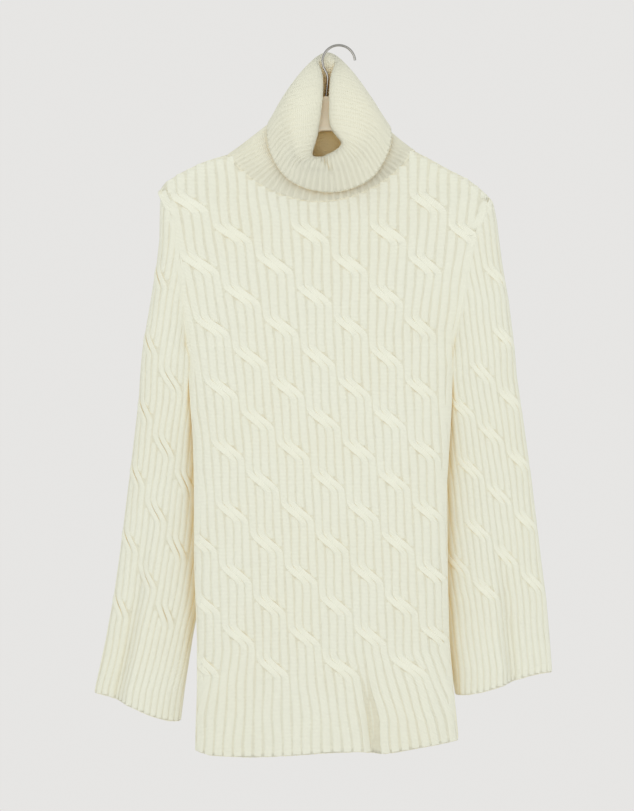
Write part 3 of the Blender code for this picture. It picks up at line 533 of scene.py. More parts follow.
def crease_depth(x, drop):
    total = 0.0
    for crease in COLLAR_CREASES:
        run = np.array((crease.to_x - crease.from_x, crease.to_drop - crease.from_drop), float)
        length = np.linalg.norm(run)
        off_x, off_drop = x - crease.from_x, drop - crease.from_drop
        along = (off_x * run[0] + off_drop * run[1]) / length
        aside = (off_drop * run[0] - off_x * run[1]) / length
        fade = (ease(-CREASE_FADE, CREASE_FADE, along / length)
                * ease(1 + CREASE_FADE, 1 - CREASE_FADE, along / length))
        total = total + crease.depth * fade * np.exp(-(aside / crease.width) ** 2)
    return total


def collar_surface(angles, rings):
    """A grid of points of the middle of the collar's wall, and their ways out from the neck."""
    angles, rings = np.asarray(angles, float), np.asarray(rings, float)
    points = collar_points(angles, rings)
    step = COLLAR_STEP
    around = collar_points(angles + step, rings) - collar_points(angles - step, rings)
    low = collar_points(angles, np.maximum(rings - step, 0.0))
    high = collar_points(angles, np.minimum(rings + step, len(COLLAR_LINES)))
    outwards = unit(np.cross(around, high - low))
    shown = ease(SHOWN_FROM, SHOWN_FULL, rings)[:, None] * ease(0.0, SHOWN_DEPTH, points[..., 1])
    dent = crease_depth(points[..., 0], -points[..., 2]) * shown
    return points + outwards * dent[..., None], outwards


# --- making and joining ---

dress = bpy.data.collections.new("knit_dress")
bpy.context.scene.collection.children.link(dress)


def place(name, data):
    obj = bpy.data.objects.new(name, data)
    dress.objects.link(obj)
    return obj


def link(name, mesh, material):
    mesh.materials.append(material)
    mesh.polygons.foreach_set("use_smooth", np.ones(len(mesh.polygons), bool))
    return place(name, mesh)


def evaluated_mesh(obj):
    graph = bpy.context.evaluated_depsgraph_get()
    return bpy.data.meshes.new_from_object(obj.evaluated_get(graph))


def treated(mesh, change):
    """Runs a change on the mesh's loose form."""
    loose = bmesh.new()
    loose.from_mesh(mesh)
    change(loose)
    loose.to_mesh(mesh)
    loose.free()


def grid_faces(index, flip=False):
    """The faces between a grid's neighbouring points."""
    corners = (index[:-1, :-1], index[1:, :-1], index[1:, 1:], index[:-1, 1:])
    return np.stack(corners[::-1] if flip else corners, axis=-1).reshape(-1, 4)


WELD = 0.01  # points nearer than this are one


def make_cloth(name, grid, faces_out):
    """A closed wall on a grid whose columns run to the right as seen from outside.

    faces_out is how far its outer and its inner face lie from the grid. open_rows is the number
    of rows, from the first, whose two sides are free edges. Below them, or all the way where there
    are none, the sides meet.
    """
    shape = grid.points.shape[:2]
    outer = np.arange(shape[0] * shape[1]).reshape(shape)
    inner = outer + outer.size
    places = np.concatenate((grid.points + grid.outwards * faces_out[0],
                             grid.points - grid.outwards * faces_out[1]))
    sides = slice(0, grid.open_rows + 1)
    faces = [
        grid_faces(outer), grid_faces(inner, flip=True),
        grid_faces(np.stack((inner[0], outer[0]))), grid_faces(np.stack((outer[-1], inner[-1])))]
    if grid.open_rows:
        faces.append(grid_faces(np.stack((inner[sides, 0], outer[sides, 0]), axis=1)))
        faces.append(grid_faces(np.stack((outer[sides, -1], inner[sides, -1]), axis=1)))
    mesh = bpy.data.meshes.new(name)
    mesh.from_pydata((places.reshape(-1, 3) * MM).tolist(), [], np.concatenate(faces).tolist())
    corners = np.empty(len(mesh.loops), np.int32)
    mesh.loops.foreach_get("vertex_index", corners)
    for label in ("along", "across"):
        values = np.broadcast_to(getattr(grid, label), shape).reshape(-1) * MM
        attribute = mesh.attributes.new(label, "FLOAT", "CORNER")
        attribute.data.foreach_set("value", np.tile(values, 2)[corners].astype(np.float32))
    treated(mesh, lambda loose: bmesh.ops.remove_doubles(loose, verts=loose.verts,
                                                         dist=WELD * MM))
    return link(name, mesh, ground)


# A line that a rib or a row of stitches follows: which way is outward, how full it is, and how far
# along the knitting each point lies.
Line = namedtuple("Line", "points facing girth along")


def guide(name, lines):
    """The lines as one mesh of edges."""
    mesh = bpy.data.meshes.new(name)
    points = np.concatenate([line.points for line in lines])
    starts = np.cumsum([0] + [len(line.points) for line in lines])
    edges = [np.stack((np.arange(a, b - 1), np.arange(a + 1, b)), axis=1)
             for a, b in zip(starts, starts[1:])]
    mesh.from_pydata((points * MM).tolist(), np.concatenate(edges).tolist(), [])
    facing = np.concatenate([line.facing for line in lines]).astype(np.float32)
    facings = mesh.attributes.new("facing", "FLOAT_VECTOR", "POINT")
    facings.data.foreach_set("vector", facing.ravel())
    for label in ("girth", "along"):
        values = np.concatenate([np.broadcast_to(getattr(line, label), len(line.points))
                                 for line in lines]).astype(np.float32)
        if label == "along":
            values *= MM
        mesh.attributes.new(label, "FLOAT", "POINT").data.foreach_set("value", values)
    return place(name, mesh)


class Nodes:
    """Puts nodes in a tree, with values or other nodes' outputs on their sockets."""

    def __init__(self, tree):
        self.tree = tree

    def put(self, socket, value):
        if isinstance(value, bpy.types.NodeSocket):
            self.tree.links.new(value, socket)
        else:
            socket.default_value = value

    def add(self, kind, values=None, **settings):
        node = self.tree.nodes.new(kind)
        for label, value in settings.items():
            setattr(node, label, value)
        for label, value in (values or {}).items():
            self.put(node.inputs[label], value)
        return node

    def out(self, kind, values=None, **settings):
        return self.add(kind, values, **settings).outputs[0]

    def math(self, operation, *values):
        return self.out("ShaderNodeMath", dict(enumerate(values)), operation=operation)

    def plus(self, a, b):
        return self.math("ADD", a, b)

    def minus(self, a, b):
        return self.math("SUBTRACT", a, b)

    def times(self, a, b):
        return self.math("MULTIPLY", a, b)

    def over(self, a, b):
        return self.math("DIVIDE", a, b)

    def power(self, a, b):
        return self.math("POWER", a, b)

    def size(self, a):
        return self.math("ABSOLUTE", a)

    def sine(self, a):
        return self.math("SINE", a)


class Tree(Nodes):
    """A Geometry Nodes tree with named inputs."""

    def __init__(self, name, **inputs):
        super().__init__(bpy.data.node_groups.new(name, "GeometryNodeTree"))
        face = self.tree.interface
        face.new_socket("Geometry", in_out="INPUT", socket_type="NodeSocketGeometry")
        face.new_socket("Geometry", in_out="OUTPUT", socket_type="NodeSocketGeometry")
        for label, kind in inputs.items():
            face.new_socket(label, in_out="INPUT", socket_type="NodeSocket" + kind)
        self.inputs = self.add("NodeGroupInput").outputs

    def named(self, name, data_type="FLOAT"):
        return self.out("GeometryNodeInputNamedAttribute", {"Name": name}, data_type=data_type)

    def finish(self, geometry):
        real = self.out("GeometryNodeRealizeInstances", {0: geometry})
        dyed = {"Geometry": real, "Material": self.inputs["Material"]}
        self.add("NodeGroupOutput", {0: self.out("GeometryNodeSetMaterial", dyed)})

    def grow(self, obj, **values):
        """Gives the object the tree's result as its own mesh."""
        modifier = obj.modifiers.new("knit", "NODES")
        modifier.node_group = self.tree
        for item in self.tree.interface.items_tree:
            if item.item_type == "SOCKET" and item.in_out == "INPUT" and item.name in values:
                modifier[item.identifier] = values[item.name]
        mesh = evaluated_mesh(obj)
        obj.modifiers.clear()
        obj.data = mesh
        mesh.name = obj.name
        mesh.polygons.foreach_set("use_smooth", np.ones(len(mesh.polygons), bool))
        return obj


def rib_tree():
    """Knitted ribs with a broad crown along the guide's lines."""
    tree = Tree("knitted_ribs", Width="Float", Thickness="Float", Fullness="Float", Sides="Int",
                Material="Material")
    ring = tree.out("GeometryNodeCurvePrimitiveCircle",
                    {"Resolution": tree.inputs["Sides"], "Radius": 1.0})
    place = tree.add("ShaderNodeSeparateXYZ", {0: tree.out("GeometryNodeInputPosition")})
    sides = []
    for axis, size in (("X", "Thickness"), ("Y", "Width")):
        at = place.outputs[axis]
        rounded = tree.power(tree.size(at), tree.inputs["Fullness"])
        half = tree.times(tree.inputs[size], -0.5)
        sides.append(tree.times(tree.times(tree.math("SIGN", at), rounded), half))
    profile = tree.out("ShaderNodeCombineXYZ", {"X": sides[0], "Y": sides[1]})
    ring = tree.out("GeometryNodeSetPosition", {"Geometry": ring, "Position": profile})
    ring = tree.out("GeometryNodeStoreNamedAttribute",
                    {"Geometry": ring, "Name": "across", "Value": sides[1]}, data_type="FLOAT")
    line = tree.out("GeometryNodeMeshToCurve", {"Mesh": tree.inputs["Geometry"]})
    line = tree.out("GeometryNodeSetCurveNormal",
                    {"Curve": line, "Normal": tree.named("facing", "FLOAT_VECTOR")}, mode="FREE")
    tree.finish(tree.out("GeometryNodeCurveToMesh",
                         {"Curve": line, "Profile Curve": ring, "Scale": tree.named("girth"),
                          "Fill Caps": True}))
    return tree


STITCH_SIZES = (0.85, 1.15)  # the smallest and the largest, of the size asked for
STITCH_SEGMENTS, STITCH_RINGS = 8, 5


def stitch_tree():
    """Slanted stitches, one after another, along the guide's lines."""
    tree = Tree("edge_stitches", Spacing="Float", Size="Vector", Slant="Float", Seed="Int",
                Material="Material")
    line = tree.out("GeometryNodeMeshToCurve", {"Mesh": tree.inputs["Geometry"]})
    line = tree.out("GeometryNodeResampleCurve",
                    {"Curve": line, "Length": tree.inputs["Spacing"]}, mode="LENGTH")
    loop = tree.out("GeometryNodeMeshUVSphere",
                    {"Segments": STITCH_SEGMENTS, "Rings": STITCH_RINGS, "Radius": 0.5})
    turned = tree.out("FunctionNodeAxesToRotation",
                      {"Primary Axis": tree.named("facing", "FLOAT_VECTOR"),
                       "Secondary Axis": tree.out("GeometryNodeInputTangent")},
                      primary_axis="Z", secondary_axis="X")
    slant = tree.out("ShaderNodeCombineXYZ", {"Z": tree.inputs["Slant"]})
    turned = tree.out("FunctionNodeRotateRotation", {"Rotation": turned, "Rotate By": slant},
                      rotation_space="LOCAL")
    uneven = tree.add("FunctionNodeRandomValue", {"Seed": tree.inputs["Seed"]}, data_type="FLOAT")
    for socket, value in zip(uneven.inputs[2:4], STITCH_SIZES):
        socket.default_value = value
    size = tree.out("ShaderNodeVectorMath",
                    {0: tree.inputs["Size"], "Scale": uneven.outputs[1]}, operation="SCALE")
    tree.finish(tree.out("GeometryNodeInstanceOnPoints",
                         {"Points": line, "Instance": loop, "Rotation": turned, "Scale": size}))
    return tree


# --- yarn, board and chrome ---

class Finish(Nodes):
    """A material's nodes."""

    def __init__(self, name):
        self.material = bpy.data.materials.new(name)
        self.material.use_nodes = True
        super().__init__(self.material.node_tree)
        self.shader = self.tree.nodes["Principled BSDF"]

    def named(self, name):
        return self.add("ShaderNodeAttribute", attribute_name=name).outputs["Fac"]

    def noise(self, scale, detail, stretch=(1, 1, 1)):
        at = self.add("ShaderNodeTexCoord").outputs["Object"]
        at = self.out("ShaderNodeMapping", {"Vector": at, "Scale": stretch})
        return self.out("ShaderNodeTexNoise", {"Vector": at, "Scale": scale, "Detail": detail})

    def between(self, share, low, high, from_low=0.35, from_high=0.65):
        """From low to high as the share goes from from_low to from_high, which suit a noise."""
        return self.out("ShaderNodeMapRange", {
            "Value": share, "From Min": from_low, "From Max": from_high, "To Min": low,
            "To Max": high})

    def mixed(self, share, low, high):
        node = self.add("ShaderNodeMix", data_type="RGBA")
        sockets = [node.inputs[at] for at in (0, 6, 7)]
        for socket, value in zip(sockets, (share, low, high)):
            self.put(socket, value)
        return node.outputs[2]

    def painted_crevice_shade(self, base, most):
        """Golden painted shade in the cloth's narrow places, found by ambient occlusion, for light
        gone from yarn to yarn.
        """
        node = self.add("ShaderNodeAmbientOcclusion", {"Distance": CREVICE_SHADE_REACH},
                        samples=CREVICE_SHADE_SAMPLES)
        share = self.between(node.outputs["AO"], most, 0.0, *CREVICE_SHADE_SHARES)
        return self.mixed(share, base, YARN_CREVICE_SHADE)

    def set(self, **values):
        for label, value in values.items():
            self.put(self.shader.inputs[label.replace("_", " ")], value)

    def fluff(self, weight):
        """The soft nap that cloth shows at its turned sides."""
        self.set(Sheen_Weight=weight, Sheen_Roughness=0.5, Sheen_Tint=(1.0, 0.97, 0.88, 1))

    def bump(self, height, distance):
        self.set(Normal=self.out("ShaderNodeBump", {"Height": height, "Distance": distance}))


YARN = (0.88, 0.845, 0.68, 1)
# The warm yarn is painted shade on the ribs' sides and in the stitches' hollows; in the seams'
# yarn it is the darker ply.
YARN_WARM = (0.87, 0.81, 0.61, 1)
YARN_PALE = (0.89, 0.86, 0.71, 1)
YARN_SPECK = (0.74, 0.70, 0.55, 1)
YARN_SHADED = (0.78, 0.70, 0.49, 1)
# Golden painted shade for the cloth's narrow places.
YARN_CREVICE_SHADE = (1.0, 0.68, 0.20, 1)
CREVICE_SHADE_REACH = 0.1  # in metres
CREVICE_SHADE_SAMPLES = 6
KNIT_CREVICE_SHADE, GROUND_CREVICE_SHADE = 0.6, 0.9  # how far the two go to the golden painted shade
CREVICE_SHADE_SHARES = (0.15, 0.6)  # of open sky, between which the golden painted shade fades out
# The ground's two colours are the yarn's made warmer, as painted shade for the gutters between the
# ribs; the third is painted shade between the purl's bars.
GROUND_WARM, GROUND_PALE = (0.89, 0.835, 0.64, 1), (0.89, 0.85, 0.67, 1)
GROUND_BAR_SHADE = (0.87, 0.77, 0.55, 1)
BOARD_DARK, BOARD_LIGHT = (0.92, 0.80, 0.58, 1), (0.94, 0.84, 0.63, 1)
CHROME_DARK, CHROME_LIGHT = (0.30, 0.28, 0.25, 1), (0.42, 0.39, 0.35, 1)

# Sizes of the noises, in waves to a metre.
CLOUD, UNEVEN, PLY, FUZZ, PURL_FUZZ, PLY_FUZZ = 9.0, 160.0, 420.0, 1500.0, 1400.0, 1300.0
KNIT_BUMP, GROUND_BUMP, BOARD_BUMP, CHROME_BUMP = 0.0004, 0.0006, 0.0001, 0.00002  # in metres
STITCH_SLANT = -1.1  # how many rows a V-shaped stitch falls from its middle to its side
Furrow = namedtuple("Furrow", "sharpness depth")
GROOVE = Furrow(5.0, 0.7)  # between two columns of stitches
HEART = Furrow(7.0, 0.35)  # down the middle of one
SIDE_SHADE_FROM, SIDE_SHADE_MOST = 0.55, 0.35  # of a rib's half width, from where painted shade makes it warmer, and how much
BODY_WALE = 0.0029  # the width of a column of stitches
COLLAR_STITCH, COLLAR_HALF = 0.0021, 0.0034  # on the collar, and half of a rib's width there
COLLAR_SHADE = 0.3  # how far the collar's yarn goes towards its shaded colour
PURL_WAVE = 0.0028  # from one purled loop to the next
PURL_SWING = 0.18  # how many rows a bar waves up and down


def knit_finish(name, wale, rib_half, shade=0.0):
    """Soft matt yarn in columns of V-shaped stitches, with painted shade: warmer towards a rib's
    sides and in the stitches' hollows, and golden in the cloth's narrow places.
    """
    finish = Finish(name)
    along, across = finish.named("along"), finish.named("across")
    column = finish.plus(finish.over(across, wale), 0.5)
    off = finish.size(finish.minus(finish.math("FRACT", column), 0.5))
    rows_down = finish.plus(finish.over(along, STITCH), finish.times(off, STITCH_SLANT))
    loops = finish.size(finish.sine(finish.times(rows_down, pi)))
    groove = finish.power(finish.times(off, 2.0), GROOVE.sharpness)
    heart = finish.power(finish.minus(1.0, finish.times(off, 2.0)), HEART.sharpness)
    stitch = finish.minus(finish.minus(loops, finish.times(groove, GROOVE.depth)),
                          finish.times(heart, HEART.depth))
    fuzz = finish.noise(FUZZ, 3.0)
    uneven = finish.noise(UNEVEN, 3.0)
    height = finish.plus(stitch, finish.plus(finish.times(fuzz, 0.5), uneven))
    # Painted shade: warmer towards a rib's sides, where they turn down into the gutter.
    side = finish.between(finish.size(across), 0.0, SIDE_SHADE_MOST, rib_half * SIDE_SHADE_FROM, rib_half)
    base = finish.mixed(finish.between(finish.noise(CLOUD, 3.0), 0.0, 0.5), YARN, YARN_PALE)
    base = finish.mixed(side, base, YARN_WARM)
    # Painted shade: warmer in the stitches' hollows, where the stitch pattern is low.
    base = finish.mixed(finish.between(stitch, 0.14, 0.0, 0.0, 0.4), base, YARN_WARM)
    base = finish.mixed(finish.between(fuzz, 0.0, 0.07, 0.35, 0.7), base, YARN_SPECK)
    # Painted shade: towards the shaded colour by the share given, then golden painted shade in
    # narrow places.
    base = finish.painted_crevice_shade(finish.mixed(shade, base, YARN_SHADED), KNIT_CREVICE_SHADE)
    finish.set(Base_Color=base, Roughness=finish.between(uneven, 0.84, 0.97, 0.0, 1.0))
    finish.fluff(0.22)
    finish.bump(height, KNIT_BUMP)
    return finish.material


def ground_finish(name):
    """The purled cloth between two ribs, with its bars across, in the yarn's colour made warmer as
    painted shade for the gutters, and darker between the bars as painted shade too.
    """
    finish = Finish(name)
    along, across = finish.named("along"), finish.named("across")
    wave = finish.sine(finish.times(across, 2 * pi / PURL_WAVE))
    rows_down = finish.plus(finish.over(along, STITCH), finish.times(wave, PURL_SWING))
    bars = finish.size(finish.sine(finish.times(rows_down, pi)))
    fuzz = finish.noise(PURL_FUZZ, 3.0)
    base = finish.mixed(finish.between(finish.noise(CLOUD, 3.0), 0.0, 1.0),
                        GROUND_WARM, GROUND_PALE)
    # Painted shade between the purl's bars.
    base = finish.mixed(finish.between(bars, 0.45, 0.0, 0.0, 0.6), base, GROUND_BAR_SHADE)
    # Golden painted shade in the cloth's narrow places.
    base = finish.painted_crevice_shade(base, GROUND_CREVICE_SHADE)
    finish.set(Base_Color=base, Roughness=finish.between(fuzz, 0.88, 0.98, 0.0, 1.0))
    finish.fluff(0.15)
    finish.bump(finish.plus(bars, finish.times(fuzz, 0.5)), GROUND_BUMP)
    return finish.material


def stitch_finish(name):
    """Plied yarn, as on the seams and the bound edges."""
    finish = Finish(name)
    fuzz = finish.noise(PLY_FUZZ, 3.0)
    ply = finish.noise(PLY, 2.0, (1, 1, 2.5))
    base = finish.mixed(finish.between(ply, 0.0, 0.6), YARN_WARM, YARN)
    finish.set(Base_Color=base, Roughness=finish.between(fuzz, 0.85, 0.97, 0.0, 1.0))
    finish.fluff(0.2)
    finish.bump(finish.plus(fuzz, ply), KNIT_BUMP)
    return finish.material


def board_finish(name):
    """Satin cream lacquer over a faint grain along the board."""
    finish = Finish(name)
    grain = finish.noise(24.0, 5.0, (0.5, 6, 6))
    wear = finish.noise(70.0, 4.0)
    finish.set(Base_Color=finish.mixed(finish.between(grain, 0.0, 1.0), BOARD_DARK, BOARD_LIGHT),
               Roughness=finish.between(wear, 0.34, 0.5, 0.3, 0.7),
               Coat_Weight=0.25, Coat_Roughness=0.3)
    finish.bump(finish.plus(grain, finish.times(wear, 0.4)), BOARD_BUMP)
    return finish.material


def chrome_finish(name):
    """Polished wire with faint marks from use."""
    finish = Finish(name)
    marks = finish.noise(260.0, 4.0, (1, 1, 3))
    dull = finish.noise(40.0, 3.0)
    finish.set(Base_Color=finish.mixed(finish.between(dull, 0.0, 1.0), CHROME_DARK, CHROME_LIGHT),
               Metallic=1.0, Roughness=finish.between(marks, 0.10, 0.24, 0.3, 0.7))
    finish.bump(marks, CHROME_BUMP)
    return finish.material


BODY_RIB_WIDTH = RIB_LEVELS[-1].pitch / RIBS_IN_GROUP * RIB_WIDTH_SHARE
body_knit = knit_finish("rib_knit", BODY_WALE, BODY_RIB_WIDTH / 2 * MM)
collar_knit = knit_finish("collar_knit", COLLAR_STITCH, COLLAR_HALF, COLLAR_SHADE)
ground = ground_finish("purl_ground")
seam_yarn = stitch_finish("seam_yarn")
board = board_finish("satin_board")
chrome = chrome_finish("chrome_wire")
ribs = rib_tree()
stitches = stitch_tree()

# --- ribs ---

# A run of one rib, from where it comes out to where it goes under a cable, and the cable that it
# crosses over in on the way.
Run = namedtuple("Run", "slot start end cable")
# How far below the cable's middle the ribs in these places of a group go under and come out.
GOES_UNDER = {2: -0.5, 3: 9.5}
COMES_OUT = {0: -9.5, 1: 0.5}
DIVE = 6.0  # the last of a run, in which it goes under
# The distance between two ribs of the body where they are widest.
BODY_RIB = RIB_LEVELS[0].pitch / RIBS_IN_GROUP


def cable_reach(drop):
    return np.array((drop - CABLE_REACH, drop, drop + CABLE_REACH))


def group_runs(cables, top, bottom):
    """The runs of a group's four ribs."""
    now = {slot: Run(slot, top, bottom, None) for slot in range(RIBS_IN_GROUP)}
    done = []
    for cable in cables:
        for slot, drop in GOES_UNDER.items():
            done.append(now[slot]._replace(end=cable + drop))
        for slot, drop in COMES_OUT.items():
            now[slot + 2] = now[slot]._replace(cable=cable)
            now[slot] = Run(slot, cable + drop, bottom, None)
    return done + list(now.values())


def run_path(run, drops, top, bottom, reach=CABLE_REACH):
    """Where in its group a rib runs, and how much it stands out."""
    slot, raised = run.slot + 0.5, 0.0
    if run.cable is not None:
        share = ease(run.cable - reach, run.cable + reach, drops)
        slot = slot + 2 * share
        raised = CABLE_RAISE * 4 * share * (1 - share)
    if run.start > top:
        raised = raised - CABLE_SINK * (1 - ease(run.start, run.start + DIVE, drops))
    if run.end < bottom:
        raised = raised - CABLE_SINK * ease(run.end - DIVE, run.end, drops)
    return np.broadcast_to(slot, drops.shape), np.broadcast_to(raised, drops.shape)


START_SAMPLES = (0.1, 0.3, 0.6, 1.0, 1.5)  # and from the next on, one a millimetre
REST_START = 2.0


def sample_drops(start, end):
    rest = np.arange(start + REST_START, end, 1.0)
    return np.concatenate((start + np.array(START_SAMPLES), rest, [end]))


def rib_lines(points, facing, girth, along, clear, step=RIB_STEP):
    """The stretches of a rib that are clear of the edges, with a point every step."""
    lines = []
    inside = np.flatnonzero(clear)
    for part in np.split(inside, np.flatnonzero(np.diff(inside) > 1) + 1):
        if len(part) < 2:
            continue
        steps = np.linalg.norm(np.diff(points[part], axis=0), axis=1)
        run = np.concatenate(([0.0], np.cumsum(steps)))
        if run[-1] < SHORTEST_RIB:
            continue
        wanted = np.linspace(0, run[-1], max(2, int(run[-1] / step) + 1))
        kept = part[np.unique(np.searchsorted(run, wanted).clip(0, len(run) - 1))]
        lines.append(Line(points[kept], facing[kept], girth[kept], along[kept]))
    return lines


def ribbed(points, outwards, raised, pitch, drops, sideways, clear, along):
    """A rib's lines on a surface. sideways is where it lies across the knitting."""
    slope = np.gradient(sideways, drops)
    girth = pitch / (1 + slope ** 2) ** LEAN_SHARE
    middle = points + outwards * (SKIN + raised - RIB_SINK * girth)[:, None]
    return rib_lines(middle, outwards, girth, along, clear)


def sway(group, slot, drops, last, period):
    """Between cables the ribs lean a little, one way in a group and the other in the next."""
    at = group + slot / RIBS_IN_GROUP
    return SWAY * np.cos(pi * (at - 0.5)) * np.sin(2 * pi * (drops - last) / period)


def body_x(side, group, slot, drop):
    middle, pitch = rib_level(drop)
    swung = slot + sway(group, slot, drop, LAST_CABLE, 2 * CABLE_STEP)
    x = middle + pitch * ((group + swung / RIBS_IN_GROUP) - BODY_GROUPS / 2)
    return x if side == FRONT else edge_x(LEFT, drop) + edge_x(RIGHT, drop) - x


def body_clear(side, x, drop, width):
    """Whether a rib of this width is clear of the body's sides and hem."""
    left, right = edge_x(LEFT, drop), edge_x(RIGHT, drop)
    return (x > left + width) & (x < right - width) & (drop < hem_levels[side](x)[0])


def body_cables(side, group):
    """The group's cables, apart from any whose ribs would run off the sides."""
    found = []
    for row in range(CABLE_ROWS - 1, -1, -1):
        drop = LAST_CABLE - CABLE_STEP * row
        if row % 2 != group % 2:
            continue
        reach = cable_reach(drop)
        x = body_x(side, group, RIBS_IN_GROUP / 2, reach)
        below_top = top_drop(side, x) + CABLE_TOP_ROOM < reach
        if body_clear(side, x, reach, CABLE_SIDE_ROOM).all() and below_top.all():
            found.append(drop)
    return found


def side_line(sign):
    """The rib at the fold down the body's side, which faces sideways."""
    x = edge_x(sign, HEM_END)
    end = float(max(hem_levels[side](x)[0] for side in (FRONT, BACK)))
    drops = np.arange(UNDERARM_DROP + REST_START, end, RIB_STEP)
    facing = np.broadcast_to((float(sign), 0.0, 0.0), (len(drops), 3))
    points = world(edge_x(sign, drops) + sign * (SKIN - RIB_SINK * SIDE_GIRTH), 0.0, drops)
    return Line(points, facing, SIDE_GIRTH, drops)


def body_lines(side):
    """The ribs of the front or the back, from the shoulders and the neck down to the hem."""
    lines = []
    for group in range(BODY_GROUPS):

        def rib_top(drop, slot):
            return top_drop(side, body_x(side, group, slot + 0.5, drop))

        for run in group_runs(body_cables(side, group), 0.0, HEM_END):
            start = run.start
            if start == 0.0:
                start = TOP_GAP + float(settle(lambda drop, slot=run.slot: rib_top(drop, slot)))
            drops = sample_drops(start, run.end)
            slot, raised = run_path(run, drops, 0.0, HEM_END)
            wanted = body_x(side, group, slot, drops)
            below = ease(UNDERARM_DROP - MARGIN_FADE, UNDERARM_DROP, drops)
            margin = ARMHOLE_MARGIN + (SIDE_MARGIN - ARMHOLE_MARGIN) * below
            x = np.clip(wanted, edge_x(LEFT, drops) + margin, edge_x(RIGHT, drops) - margin)
            moved = np.abs(x - wanted)
            raised = raised - MOVED_SINK * moved
            points, outwards = body_surface(side, x, drops)
            girth = rib_level(drops)[1] / RIBS_IN_GROUP / BODY_RIB
            clear = body_clear(side, x, drops, 0.0)
            clear &= moved < MOVED_SHARE * girth * BODY_RIB
            clear &= drops >= top_drop(side, x) + TOP_GAP / 2
            lines += ribbed(points, outwards, raised, girth, drops, x, clear, drops)
    if side == FRONT:
        lines += [side_line(sign) for sign in (LEFT, RIGHT)]
    return lines


def sleeve_place(plan, groups):
    """How far round the sleeve something lies that many groups from the first one's edge."""
    return (groups - SLEEVE_GROUPS / 2) * SLEEVE_PITCH - plan.sign * SLEEVE_FIRST_RIB[plan.sign]


def sleeve_cables(plan, group):
    """The drops of a group's cables, the lowest one of all and how far apart they are."""
    middle = abs(sleeve_place(plan, group + 0.5))
    starts, period = SLEEVE_CABLES[plan.sign]
    nth = round((middle - SLEEVE_FIRST_RIB[plan.sign]) / SLEEVE_PITCH - 0.5)
    on_front = (group + 0.5 - SLEEVE_GROUPS / 2) * plan.sign < 0
    last = starts[(nth if on_front else nth + 1) % 2] + ROW_TILT * middle
    return list(np.arange(last, SLEEVE_TOP_CABLE, -period)[::-1]), last, period


def sleeve_lines(plan):
    """The ribs of a sleeve, all round, from the shoulder's tip and the armhole to the cuff."""
    lines = []
    top = TIP_DROP[plan.sign]
    for group in range(SLEEVE_GROUPS):
        cables, last, period = sleeve_cables(plan, group)

        def around_at(slot, drops):
            swung = slot + sway(group, slot, drops, last, period)
            return sleeve_place(plan, group + swung / RIBS_IN_GROUP)

        kept = []
        for cable in cables:
            reach = cable_reach(cable)
            ends = [around_at(slot, reach) for slot in (0.0, float(RIBS_IN_GROUP))]
            length = sleeve_points(plan, ends[0], reach)[1]
            if all((np.abs(around) < length).all() for around in ends):
                kept.append(cable)
        for run in group_runs(kept, top, HEM_END):
            drops = sample_drops(run.start + TOP_GAP, run.end)
            slot, raised = run_path(run, drops, top, HEM_END, SLEEVE_REACH[plan.sign])
            wanted = around_at(slot, drops)
            length = sleeve_points(plan, wanted, drops)[1] - ARMHOLE_MARGIN
            around = np.clip(wanted, -length, length)
            moved = np.abs(around - wanted)
            raised = raised - MOVED_SINK * moved
            points, outwards, _ = sleeve_surface(plan, around, drops)
            clear = moved < MOVED_SHARE * SLEEVE_RIB
            clear &= drops < cuff_drop(plan, points[:, 0])
            lines += ribbed(points, outwards, raised, np.ones(len(drops)), drops, around, clear,
                            drops + ROW_TILT * np.abs(around))
    return lines


# --- front, back and sleeves ---

ROW_STEP, COLUMN_STEP = 6.0, 5.5
TURN_ROWS = (0.0, 0.15, 0.5, 1.2, 2.4, 4.2, 7.0, 11.0)  # below the top, where the cloth turns over
CUFF_ROUNDS = 3  # in which each column finds its end on the slanting cuff
UP = (0.0, 0.0, 1.0)
ABOUT_THERE = 0.01  # drops nearer than this are the same


def rows_from(top, bottom):
    """Shares of the height, closer together at the top."""
    near = np.array(TURN_ROWS) / (bottom - top)
    rest = np.linspace(near[-1], 1.0, int((bottom - top) / ROW_STEP))
    return np.concatenate((near, rest[1:]))


def edge_outward(sign, side, drop, below):
    """Square to the armhole's edge in its own plane, and the direction given further down."""
    depths = [armhole_depth(sign, drop + move) for move in (DIFFERENCE, -DIFFERENCE)]
    slope = (depths[0] - depths[1]) / (2 * DIFFERENCE)
    facing = unit(np.stack((np.zeros_like(slope), np.full_like(slope, side), slope), axis=-1))
    facing[drop <= TIP_DROP[sign] + ABOUT_THERE] = UP
    facing[drop > UNDERARM_DROP + ABOUT_THERE] = below
    return facing


Grid = namedtuple("Grid", "points outwards along across open_rows")


def body_grid(side):
    """The front or the back, from the shoulders and the neck down to the hem."""
    width = edge_x(RIGHT, HEM_END) - edge_x(LEFT, HEM_END)
    columns = np.linspace(0, 1, int(width / COLUMN_STEP))

    def x_at(drop, share):
        left, right = edge_x(LEFT, drop), edge_x(RIGHT, drop)
        x = left + (right - left) * share
        return x if side == FRONT else left + right - x

    top = settle(lambda drop: top_drop(side, x_at(drop, columns)),
                 np.full(len(columns), UNDERARM_DROP))
    bottom = hem_levels[side](x_at(HEM_END, columns))[0]
    drops = top + (bottom - top) * rows_from(float(top.min()), HEM_END)[:, None]
    x = x_at(drops, columns)
    points, outwards = body_surface(side, x, drops)
    for column, sign in ((0, side * RIGHT), (-1, side * LEFT)):
        outwards[:, column] = edge_outward(sign, side, drops[:, column], (sign, 0.0, 0.0))
    ridge = np.abs(neck_share(x[0])) >= 1
    slope = ridge_middle(x[0] + 1) - ridge_middle(x[0])
    upward = unit(np.stack((slope, np.zeros_like(slope), np.ones_like(slope)), axis=-1))
    outwards[0] = np.where(ridge[:, None], upward, outwards[0])
    return Grid(points, outwards, drops, x, len(drops) - 1)


